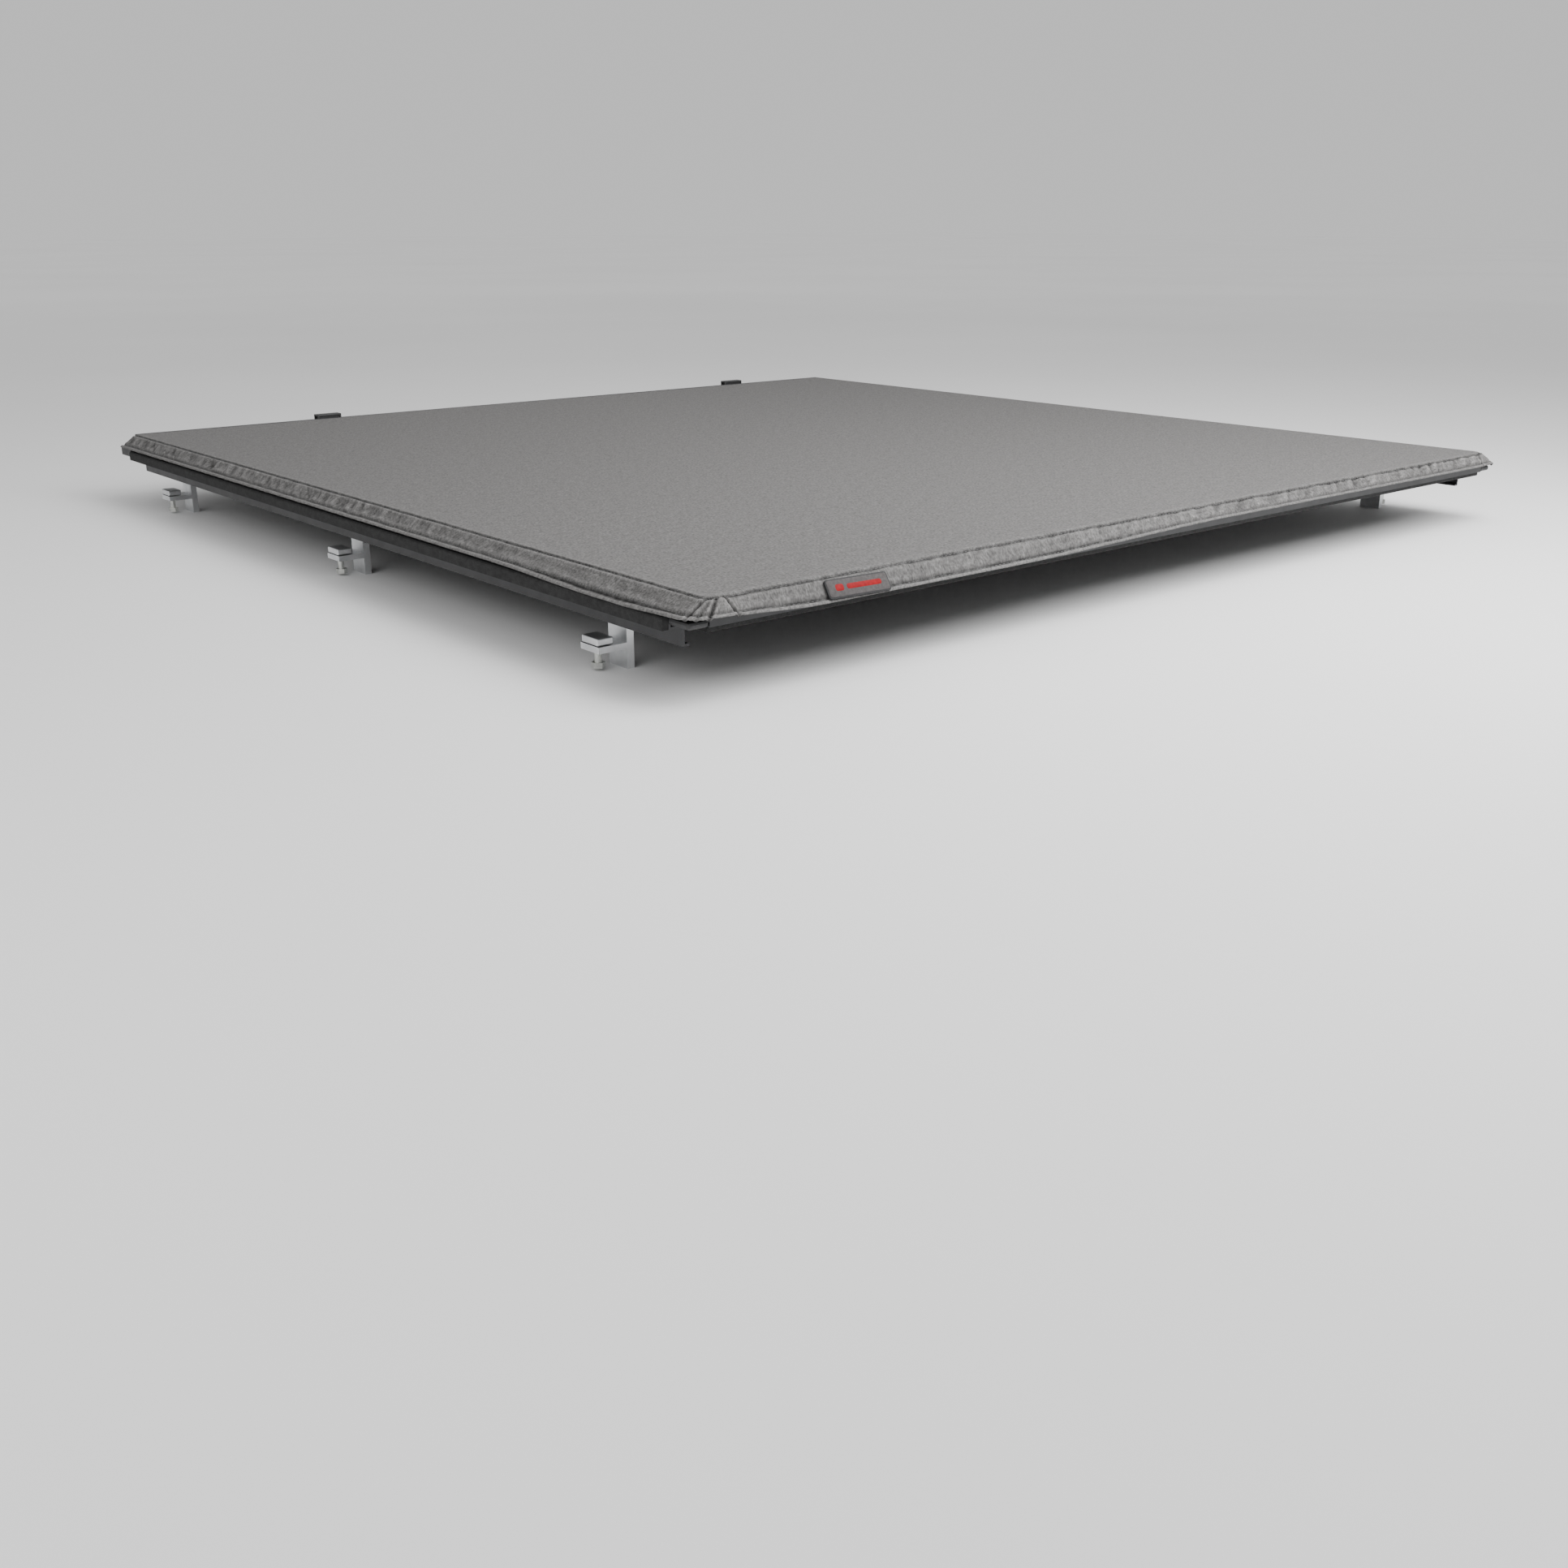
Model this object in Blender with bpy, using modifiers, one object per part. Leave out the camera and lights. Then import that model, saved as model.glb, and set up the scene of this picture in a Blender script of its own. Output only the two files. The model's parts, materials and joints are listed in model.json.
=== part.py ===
"""Soft roll-up tonneau cover for a five-foot pickup bed.

Metres, +Z up, +Y towards the cab, +X to the truck's right. The origin is under the middle of the cover,
at the height of the clamps' feet. The cover lies shut. Its fabric is one sheet, built here as panels
that hinge on one another along X, so that it can roll up on top of itself towards the cab.
"""

import math

import bmesh
import bpy
from mathutils import Matrix

# ---------------------------------------------------------------- driving sizes
RIDGE_WIDTH = 1.524      # flat top, from side seam to side seam
RIDGE_LENGTH = 1.560     # flat top, from header to rear seam
SIDE_HEM = 0.030         # the strip outside each side seam, seen from above
REAR_HEM = 0.020
HEM_DROP = 0.017         # how far a hem's outer edge lies below the flat top
CORNER_RADIUS = 0.014    # the rear corners of the hem
FABRIC = 0.0025

SEAT_Z = 0.070           # top of the truck's bed rails, above the clamps' feet
COVER_HEIGHT = 0.036     # flat top above the bed rails
TOUCH = 0.0003           # between pieces that lie on each other
SHARP = math.radians(40)  # edges between faces that meet at more than this stay crisp
LAY = 0.0004             # between the hem, the loop tape and the rail

# Rolling up
HINGES = 13
TURN = math.radians(72)  # each panel against the one in front of it, fully rolled
FRONT_PANEL = 0.215      # stays flat, under the roll
REAR_PANEL = 0.088       # from the last hinge to the cover's rear edge
ROLL_GROWTH = 0.024      # the roll's radius grows by this each turn
REAR_DROP_IN = 0.022     # the rear panel turns in closer, for its bar
HINGE_GAP = 0.0003       # each panel's edge, short of the hinge line

# Side rails
RAIL_WALL = 0.0025
RAIL_WEB = 0.003
RAIL_BOX = 0.0195        # outer face of the box, outside the seam
DECK_OVERHANG = 0.002
LEG_DROP = 0.020         # the inner leg, below the seat
LEG_FOOT = 0.0055
LEDGE = 0.024            # shelf that the bows rest on
LEDGE_PLAY = 0.0005
TAPE = 0.0015            # loop tape on the rail's deck
TAPE_INSET = 0.003
SEAL_WIDTH = 0.0075
SEAL_HEIGHT = 0.014
TONGUE = 0.037           # of the header end, into the rail
TONGUE_PLAY = 0.0006

# Header, at the cab
HEADER_LIP = 0.012       # header's front face, ahead of the fabric
HEADER_DEPTH = 0.044
HEADER_FLOAT = 0.0045    # header's underside above the bed rails, filled by its seal
HEADER_SEAL_WIDTH = 0.032
LIP_CHAMFER = 0.0025

# Hold-down straps
STRAP_X = (-0.410, 0.530)
STRAP_WIDTH = 0.038
STRAP_THICK = 0.002
STRAP_HEIGHT = 0.0275
STRAP_LOOP = 0.0115
BUCKLE_WIDTH = 0.046
BUCKLE_HEIGHT = 0.0215
BUCKLE_DEPTH = 0.0165
BUCKLE_OUT = 0.020       # buckle's front face, ahead of the header
BUCKLE_STAND = 0.006     # buckle's top, above the flat top
BUCKLE_PIVOT = 0.002     # its hinge, behind its front face and above its underside

# Bows
BOW_WIDTH = 0.036
BOW_DEPTH = 0.012
BOW_PANELS = {"front": 2, "middle": 5, "rear": 9}
BOW_END_PLAY = 0.004

# Rear bar and its latches
BAR_AHEAD = 0.030        # bar's front face, ahead of the rear seam
BAR_DEPTH = 0.034
BAR_FLOAT = 0.006        # bar's underside above the bed rails, filled by its seal
BAR_WALL = 0.0022
BAR_END = 0.026
REAR_SEAL_WIDTH = 0.026
RAIL_TO_BAR = 0.003      # rail's rear end, ahead of the bar
CASE_LENGTH = 0.046
CASE_DEPTH = 0.0325
CASE_FLOOR = 0.0015      # latch case's underside, above the seat
CASE_PLAY = 0.002        # latch case to the rail's ledge
LATCH_R = 0.004
LATCH_LENGTH = 0.035
LATCH_TRAVEL = 0.014
LATCH_Z = 0.0085         # latch bolt's axis, above the seat
BORE_PLAY = 0.0004
THUMB_R = 0.003
THUMB_DROP = 0.013
THUMB_BACK = 0.006       # thumb pin, from the bolt's inner end
STRIKER_DEPTH = 0.0192
STRIKER_WIDTH = 0.024
STRIKER_BELOW = 0.002

# Label
LABEL_WIDTH = 0.086
LABEL_HEIGHT = 0.023
LABEL_THICK = 0.0008
LABEL_FROM_SEAM = 0.146  # label's left edge, in from the left seam

# Clamps
CLAMP_Y = (0.600, -0.010, -0.620)
CLAMP_WIDTH = 0.034
SPINE = 0.009
SPINE_OFF = 0.010        # spine's outer face, inside the rail's web
ARM_THICK = 0.009
ARM_PLAY = 0.0008
LOWER_ARM = 0.007
JAW_TRAVEL = 0.012
JAW_THICK = 0.008
JAW_WIDTH = 0.030
JAW_REACH = 0.020
JAW_OFF = 0.0025         # jaw to the rail's leg
BOLT_R = 0.004
BOLT_HEAD_R = 0.0075
BOLT_HEAD = 0.0063
BOLT_FOOT = 0.003        # bolt head's underside, above the clamp's foot

# ---------------------------------------------------------------- derived places
TOP_Z = SEAT_Z + COVER_HEIGHT
RIDGE_X = RIDGE_WIDTH / 2
EDGE_X = RIDGE_X + SIDE_HEM
LENGTH = REAR_HEM + RIDGE_LENGTH + HEADER_LIP + BUCKLE_OUT
REAR_Y = -LENGTH / 2
REAR_SEAM_Y = REAR_Y + REAR_HEM
FRONT_Y = REAR_SEAM_Y + RIDGE_LENGTH
HEADER_Y = FRONT_Y + HEADER_LIP
HEADER_BACK_Y = HEADER_Y - HEADER_DEPTH
UNDER_Z = TOP_Z - FABRIC - TOUCH
SIDE_SLOPE = HEM_DROP / SIDE_HEM
REAR_SLOPE = HEM_DROP / REAR_HEM
LEG_BOTTOM = SEAT_Z - LEG_DROP
LEDGE_TOP = UNDER_Z - BOW_DEPTH - LEDGE_PLAY
RAIL_X = RIDGE_X
RAIL_OUT_X = RIDGE_X + RAIL_BOX
DECK_X = RAIL_OUT_X + DECK_OVERHANG
LEDGE_X = RAIL_X - LEDGE
RAIL_FRONT_Y = HEADER_BACK_Y - TOUCH
BAR_FRONT_Y = REAR_SEAM_Y + BAR_AHEAD
RAIL_REAR_Y = BAR_FRONT_Y + RAIL_TO_BAR
BAR_REAR_Y = BAR_FRONT_Y - BAR_DEPTH
BAR_BOTTOM = SEAT_Z + BAR_FLOAT
CASE_X = LEDGE_X - CASE_PLAY
LATCH_Y = BAR_FRONT_Y + TOUCH + CASE_DEPTH / 2
LATCH_AXIS_Z = SEAT_Z + LATCH_Z
HEADER_BOTTOM = SEAT_Z + HEADER_FLOAT
BUCKLE_TOP = TOP_Z + BUCKLE_STAND
LOWER_ARM_Z = BOLT_FOOT + BOLT_HEAD + JAW_TRAVEL + ARM_PLAY
JAW_Z = LOWER_ARM_Z + LOWER_ARM + ARM_PLAY
JAW_X = RAIL_X + RAIL_WEB + JAW_OFF
BOLT_X = JAW_X + JAW_REACH / 2


def panel_lengths():
    """Lengths of the panels between one hinge and the next, front to rear.

    Rolled up, the panels lie on an equal-angled spiral, and support[k] is how far panel k stands from its
    middle. The lengths follow from the supports, and the roll's core from the length that must be rolled.
    """

    def lengths(core):
        support = [core + ROLL_GROWTH * (HINGES - k) * TURN / math.tau for k in range(HINGES + 1)]
        support[HINGES] -= REAR_DROP_IN
        return [
            (support[k - 1] + support[k + 1] - 2 * support[k] * math.cos(TURN)) / math.sin(TURN)
            for k in range(1, HINGES)
        ]

    rolled = RIDGE_LENGTH + REAR_HEM - FRONT_PANEL - REAR_PANEL
    at_zero = sum(lengths(0))
    per_core = (HINGES - 1) * 2 * (1 - math.cos(TURN)) / math.sin(TURN)
    return lengths((rolled - at_zero) / per_core)


def hinge_lines():
    """Y of each hinge line, front to rear."""
    lines = [FRONT_Y - FRONT_PANEL]
    for length in panel_lengths():
        lines.append(lines[-1] - length)
    return lines


def deck_z(x):
    """Top of the rail's deck, which lies parallel to the hem above it."""
    stack = (FABRIC + LAY + TAPE + LAY) * math.hypot(1, SIDE_SLOPE)
    return TOP_Z - stack - SIDE_SLOPE * (x - RIDGE_X)


def rear_under_z(y):
    """Just under the flat top and the rear hem."""
    beyond = max(REAR_SEAM_Y - y, 0)
    return TOP_Z - (FABRIC + TOUCH) * math.hypot(1, REAR_SLOPE) - REAR_SLOPE * beyond


# ---------------------------------------------------------------- tools
for old in list(bpy.data.objects):
    bpy.data.objects.remove(old)
parts = bpy.data.collections.new("tonneau_cover")
cutters = bpy.data.collections.new("cutters")
cutters.hide_render = True
for group in (parts, cutters):
    bpy.context.scene.collection.children.link(group)


def material(name, colour, roughness, metallic=0.0):
    made = bpy.data.materials.new(name)
    made.use_nodes = True
    shader = made.node_tree.nodes["Principled BSDF"]
    shader.inputs["Base Color"].default_value = (*colour, 1)
    shader.inputs["Roughness"].default_value = roughness
    shader.inputs["Metallic"].default_value = metallic
    return made


vinyl = material("grey_vinyl", (0.20, 0.20, 0.20), 0.75)
black_rail = material("black_powder_coat", (0.03, 0.03, 0.03), 0.5)
mill = material("mill_aluminium", (0.72, 0.73, 0.74), 0.35, 1.0)
plastic = material("black_nylon", (0.02, 0.02, 0.02), 0.55)
foam = material("black_sponge_rubber", (0.015, 0.015, 0.015), 0.9)
webbing = material("black_webbing", (0.02, 0.02, 0.022), 0.85)
loop = material("black_loop_tape", (0.03, 0.03, 0.03), 0.95)
zinc = material("zinc_plated_steel", (0.62, 0.63, 0.62), 0.3, 1.0)
badge = material("red_label", (0.45, 0.03, 0.03), 0.5)


def place(name, data, finish, group=parts):
    made = bpy.data.objects.new(name, data)
    data.materials.append(finish)
    group.objects.link(made)
    if group is cutters:
        made.hide_render = True
        made.display_type = "WIRE"
    return made


def ordered(points, clockwise=False):
    """The outline's points, turned so that they run the way asked for."""
    area = sum(a[0] * b[1] - b[0] * a[1] for a, b in zip(points, points[1:] + points[:1]))
    return points[::-1] if (area < 0) != clockwise else points


# An outline's own X and Y become these row axes, and its thickness runs along the third.
ALONG_Y = Matrix(((1, 0, 0, 0), (0, 0, -1, 0), (0, 1, 0, 0), (0, 0, 0, 1)))
ALONG_X = Matrix(((0, 0, 1, 0), (1, 0, 0, 0), (0, 1, 0, 0), (0, 0, 0, 1)))


def prism(name, outline, turn, low, high, finish, hole=None):
    """A flat outline drawn out from low to high: XZ outlines along Y, YZ outlines along X."""
    curve = bpy.data.curves.new(name, "CURVE")
    curve.dimensions = "2D"
    curve.fill_mode = "BOTH"
    curve.extrude = (high - low) / 2
    loops = [ordered(outline)] + ([ordered(hole, clockwise=True)] if hole else [])
    for points in loops:
        spline = curve.splines.new("POLY")
        spline.points.add(len(points) - 1)
        for point, (u, v) in zip(spline.points, points):
            point.co = (u, v, 0, 1)
        spline.use_cyclic_u = True
    made = place(name, curve, finish)
    middle = (low + high) / 2
    shift = (0, middle, 0) if turn is ALONG_Y else (middle, 0, 0)
    made.matrix_world = Matrix.Translation(shift) @ turn
    return made


def as_mesh(made):
    """The same object as a mesh, so that it can be cut."""
    bpy.context.view_layer.update()
    graph = bpy.context.evaluated_depsgraph_get()
    name, where = made.name, made.matrix_world.copy()
    finish = made.data.materials[0]
    data = bpy.data.meshes.new_from_object(made.evaluated_get(graph))
    data.materials.clear()
    bpy.data.objects.remove(made)
    work = bmesh.new()
    work.from_mesh(data)
    bmesh.ops.remove_doubles(work, verts=work.verts, dist=0.00001)
    work.to_mesh(data)
    work.free()
    made = place(name, data, finish)
    made.matrix_world = where
    return made


def block(name, low, high, finish, rounding=0.0, group=parts):
    """A box between two corners, with its edges rounded."""
    data = bpy.data.meshes.new(name)
    work = bmesh.new()
    bmesh.ops.create_cube(work, size=1)
    size = [b - a for a, b in zip(low, high)]
    bmesh.ops.scale(work, vec=size, verts=work.verts)
    work.to_mesh(data)
    work.free()
    made = place(name, data, finish, group)
    made.location = [(a + b) / 2 for a, b in zip(low, high)]
    if rounding:
        edge = made.modifiers.new("rounding", "BEVEL")
        edge.width = rounding
        edge.segments = 2
    return made


def rod(name, middle, axis, radius, length, finish, sides=20, group=parts):
    """A round bar, or a hexagon with six sides, centred on a point and shaded round."""
    data = bpy.data.meshes.new(name)
    work = bmesh.new()
    bmesh.ops.create_cone(
        work, cap_ends=True, segments=sides, radius1=radius, radius2=radius, depth=length
    )
    if axis == "X":
        bmesh.ops.rotate(work, matrix=Matrix.Rotation(math.pi / 2, 3, "Y"), verts=work.verts)
    work.to_mesh(data)
    work.free()
    data.shade_smooth()
    data.set_sharp_from_angle(angle=SHARP)
    made = place(name, data, finish, group)
    made.location = middle
    return made


def shape(made, operation, other):
    """Cut other from an object, or join it on."""
    step = made.modifiers.new(operation.lower(), "BOOLEAN")
    step.operation = operation
    step.object = other


def sides():
    return (("left", -1), ("right", 1))


def pivot(name, where, carried, parent=None):
    """An empty on a hinge, and the pieces that turn with it, left where they are."""
    made = bpy.data.objects.new(name, None)
    made.empty_display_size = 0.02
    parts.objects.link(made)
    made.matrix_world = Matrix.Translation(where)
    bpy.context.view_layer.update()
    for piece in carried:
        piece.parent = made
        piece.matrix_parent_inverse = made.matrix_world.inverted()
    if parent:
        made.parent = parent
        made.matrix_parent_inverse = parent.matrix_world.inverted()
    return made


def span(side, near, far):
    """Low and high X of a stretch given as distances from the middle, on one side."""
    return sorted((side * near, side * far))


def box_on(name, side, x, y, z, finish, rounding=0.0, group=parts):
    """A block whose X range is given as distances from the middle."""
    low_x, high_x = span(side, *x)
    return block(name, (low_x, y[0], z[0]), (high_x, y[1], z[1]), finish, rounding, group)


# ---------------------------------------------------------------- the fabric
def fabric_panel(index, front, rear):
    """One panel of the sheet, with both side hems, and the rear hem on the last one."""
    last = index == HINGES
    data = bpy.data.meshes.new(f"cover_panel_{index:02d}")
    work = bmesh.new()
    section = ((-EDGE_X, -HEM_DROP), (-RIDGE_X, 0), (RIDGE_X, 0), (EDGE_X, -HEM_DROP))
    row = [work.verts.new((x, front, TOP_Z + z)) for x, z in section]
    edges = [work.edges.new(pair) for pair in zip(row, row[1:])]
    for y, drop in ((rear, 0), (REAR_Y, HEM_DROP)) if last else ((rear, 0),):
        pulled = bmesh.ops.extrude_edge_only(work, edges=edges)["geom"]
        edges = [item for item in pulled if isinstance(item, bmesh.types.BMEdge)]
        edges = [e for e in edges if all(v in pulled for v in e.verts)]
        for vert in (item for item in pulled if isinstance(item, bmesh.types.BMVert)):
            vert.co.y = y
            vert.co.z = min(vert.co.z, TOP_Z - drop)
    if last:
        beyond = RIDGE_X + SIDE_HEM / 2
        corners = [v for v in work.verts if abs(v.co.y - REAR_Y) < TOUCH and abs(v.co.x) > beyond]
        bmesh.ops.bevel(
            work, geom=corners, offset=CORNER_RADIUS, segments=5, affect="VERTICES", profile=0.5
        )
    bmesh.ops.recalc_face_normals(work, faces=work.faces)
    if sum(face.normal.z for face in work.faces) < 0:
        bmesh.ops.reverse_faces(work, faces=work.faces)
    work.to_mesh(data)
    work.free()
    made = place(data.name, data, vinyl)
    wall = made.modifiers.new("thickness", "SOLIDIFY")
    wall.thickness = FABRIC
    wall.offset = -1
    wall.use_even_offset = True
    return made


def fabric():
    lines = hinge_lines()
    fronts = [FRONT_Y] + [y - HINGE_GAP for y in lines]
    rears = [y + HINGE_GAP for y in lines] + [REAR_SEAM_Y]
    for index, (front, rear) in enumerate(zip(fronts, rears)):
        fabric_panel(index, front, rear)


def label():
    """The sewn label on the left of the rear hem, lying on its slope."""
    left = -RIDGE_X + LABEL_FROM_SEAM
    made = block(
        "rear_label",
        (left, -LABEL_HEIGHT / 2, 0),
        (left + LABEL_WIDTH, LABEL_HEIGHT / 2, LABEL_THICK),
        badge,
    )
    lean = math.atan(REAR_SLOPE)
    made.rotation_euler.x = lean
    above = (TOUCH + LABEL_THICK / 2) / math.cos(lean)
    made.location.y = REAR_SEAM_Y - REAR_HEM / 2
    made.location.z = TOP_Z - HEM_DROP / 2 + above


# ---------------------------------------------------------------- the side rails
def rail_outline():
    """The right rail, seen along it, as (distance from the middle, height)."""
    web = RAIL_X + RAIL_WEB
    outside = [
        (RAIL_X - LEG_FOOT, LEG_BOTTOM),
        (web, LEG_BOTTOM),
        (web, SEAT_Z),
        (RAIL_OUT_X, SEAT_Z),
        (RAIL_OUT_X, deck_z(RAIL_OUT_X) - RAIL_WALL),
        (DECK_X, deck_z(DECK_X) - RAIL_WALL),
        (DECK_X, deck_z(DECK_X)),
        (RAIL_X, deck_z(RAIL_X)),
        (RAIL_X, LEDGE_TOP),
        (LEDGE_X, LEDGE_TOP),
        (LEDGE_X, LEDGE_TOP - RAIL_WALL),
        (RAIL_X, LEDGE_TOP - RAIL_WALL),
        (RAIL_X, LEG_BOTTOM + RAIL_WALL),
        (RAIL_X - LEG_FOOT, LEG_BOTTOM + RAIL_WALL),
    ]
    inner = RAIL_OUT_X - RAIL_WALL
    hollow = [
        (web, SEAT_Z + RAIL_WALL),
        (inner, SEAT_Z + RAIL_WALL),
        (inner, deck_z(inner) - RAIL_WALL),
        (web, deck_z(web) - RAIL_WALL),
    ]
    return outside, hollow


def on_side(outline, side):
    return [(side * u, v) for u, v in outline]


def rails():
    outside, hollow = rail_outline()
    tape_under = LAY * math.hypot(1, SIDE_SLOPE)
    tape_thick = TAPE * math.hypot(1, SIDE_SLOPE)
    tape = [
        (x, deck_z(x) + tape_under + up)
        for x, up in (
            (RAIL_X + TAPE_INSET, 0),
            (DECK_X - TAPE_INSET, 0),
            (DECK_X - TAPE_INSET, tape_thick),
            (RAIL_X + TAPE_INSET, tape_thick),
        )
    ]
    seal_x = RAIL_OUT_X + TOUCH
    round_ = [math.radians(a) for a in range(0, 181, 30)]
    seal = [(seal_x, SEAT_Z)] + [
        (
            seal_x + SEAL_WIDTH / 2 + SEAL_WIDTH / 2 * math.cos(a),
            SEAT_Z + SEAL_HEIGHT - SEAL_WIDTH / 2 + SEAL_WIDTH / 2 * math.sin(a),
        )
        for a in reversed(round_)
    ] + [(seal_x + SEAL_WIDTH, SEAT_Z)]
    for word, side in sides():
        stretch = (RAIL_REAR_Y, RAIL_FRONT_Y)
        prism(
            f"side_rail_{word}", on_side(outside, side), ALONG_Y, *stretch, black_rail,
            hole=on_side(hollow, side),
        )
        prism(f"loop_tape_{word}", on_side(tape, side), ALONG_Y, *stretch, loop)
        prism(f"rail_seal_{word}", on_side(seal, side), ALONG_Y, *stretch, foam)


# ---------------------------------------------------------------- the header
def header():
    """The bar across the front, its two end castings and its seal."""
    back, front = HEADER_BACK_Y, HEADER_Y
    rest_y = FRONT_Y + TOUCH
    outline = [
        (back, HEADER_BOTTOM),
        (front, HEADER_BOTTOM),
        (front, TOP_Z - LIP_CHAMFER),
        (front - LIP_CHAMFER, TOP_Z),
        (rest_y, TOP_Z),
        (rest_y, UNDER_Z),
        (back, UNDER_Z),
    ]
    wall = RAIL_WALL
    hollow = [
        (back + wall, HEADER_BOTTOM + wall),
        (front - wall, HEADER_BOTTOM + wall),
        (front - wall, UNDER_Z - wall),
        (back + wall, UNDER_Z - wall),
    ]
    half = RIDGE_X - TOUCH
    prism("header_bar", outline, ALONG_X, -half, half, black_rail, hole=hollow)
    seal_y = (back + front) / 2
    block(
        "header_seal",
        (-half + TAPE_INSET, seal_y - HEADER_SEAL_WIDTH / 2, SEAT_Z),
        (half - TAPE_INSET, seal_y + HEADER_SEAL_WIDTH / 2, HEADER_BOTTOM - TOUCH),
        foam,
        0.0008,
    )
    near, far = RIDGE_X + TOUCH, DECK_X + TAPE_INSET
    end = [(near, HEADER_BOTTOM), (far, HEADER_BOTTOM), (far, deck_z(far)), (near, deck_z(near))]
    for word, side in sides():
        cap = prism(f"header_end_{word}", on_side(end, side), ALONG_Y, back, front, plastic)
        cap = as_mesh(cap)
        tongue = box_on(
            f"tongue_{word}",
            side,
            (RAIL_X + RAIL_WEB + TONGUE_PLAY, RAIL_OUT_X - RAIL_WALL - TONGUE_PLAY),
            (back - TONGUE, back + TONGUE_PLAY),
            (SEAT_Z + RAIL_WALL + TONGUE_PLAY, deck_z(RAIL_OUT_X) - RAIL_WALL - TONGUE_PLAY),
            plastic,
            group=cutters,
        )
        shape(cap, "UNION", tongue)


def straps():
    """Two webbing tabs on the header's front face, each with a side-release buckle hinged on it."""
    face = HEADER_Y + TOUCH
    low = TOP_Z - STRAP_HEIGHT - STRAP_THICK
    for (word, _), x in zip(sides(), STRAP_X):
        loop_z = BUCKLE_TOP - BUCKLE_HEIGHT - STRAP_THICK * 2
        outline = [
            (face, low),
            (face + STRAP_THICK, low),
            (face + STRAP_THICK, loop_z),
            (face + STRAP_THICK + STRAP_LOOP, loop_z),
            (face + STRAP_THICK + STRAP_LOOP, loop_z + STRAP_THICK),
            (face + STRAP_THICK, loop_z + STRAP_THICK),
            (face + STRAP_THICK, TOP_Z - STRAP_THICK),
            (face, TOP_Z - STRAP_THICK),
        ]
        half = STRAP_WIDTH / 2
        prism(f"strap_{word}", outline, ALONG_X, x - half, x + half, webbing)
        front, under = HEADER_Y + BUCKLE_OUT, BUCKLE_TOP - BUCKLE_HEIGHT
        buckle = block(
            f"buckle_{word}",
            (x - BUCKLE_WIDTH / 2, front - BUCKLE_DEPTH, under),
            (x + BUCKLE_WIDTH / 2, front, BUCKLE_TOP),
            plastic,
            0.002,
        )
        pivot(f"buckle_pivot_{word}", (x, front - BUCKLE_PIVOT, under + BUCKLE_PIVOT), [buckle])


# ---------------------------------------------------------------- the bows
def bows():
    """Flat bars across the bed, each fixed under the middle of one panel, resting on the rails' ledges."""
    lines = hinge_lines()
    half = RAIL_X - BOW_END_PLAY
    for word, panel in BOW_PANELS.items():
        y = (lines[panel - 1] + lines[panel]) / 2
        block(
            f"bow_{word}",
            (-half, y - BOW_WIDTH / 2, UNDER_Z - BOW_DEPTH),
            (half, y + BOW_WIDTH / 2, UNDER_Z),
            mill,
            0.003,
        )


# ---------------------------------------------------------------- the rear bar
def rear_bar():
    front, rear, bend = BAR_FRONT_Y, BAR_REAR_Y, REAR_SEAM_Y
    wall = BAR_WALL
    outline = [
        (rear, BAR_BOTTOM),
        (front, BAR_BOTTOM),
        (front, rear_under_z(front)),
        (bend, rear_under_z(bend)),
        (rear, rear_under_z(rear)),
    ]
    hollow = [
        (rear + wall, BAR_BOTTOM + wall),
        (front - wall, BAR_BOTTOM + wall),
        (front - wall, rear_under_z(front) - wall),
        (bend, rear_under_z(bend) - wall),
        (rear + wall, rear_under_z(rear) - wall * 2),
    ]
    half = RIDGE_X - TAPE_INSET
    prism("rear_bar", outline, ALONG_X, -half, half, black_rail, hole=hollow)
    middle = (front + rear) / 2
    block(
        "rear_seal",
        (-half, middle - REAR_SEAL_WIDTH / 2, SEAT_Z),
        (half, middle + REAR_SEAL_WIDTH / 2, BAR_BOTTOM - TOUCH),
        foam,
        0.001,
    )
    top = TOP_Z - HEM_DROP - 2 * FABRIC
    for word, side in sides():
        box_on(
            f"rear_bar_end_{word}",
            side,
            (half + TOUCH, half + BAR_END),
            (rear, front),
            (BAR_BOTTOM, top),
            plastic,
            0.003,
        )


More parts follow.
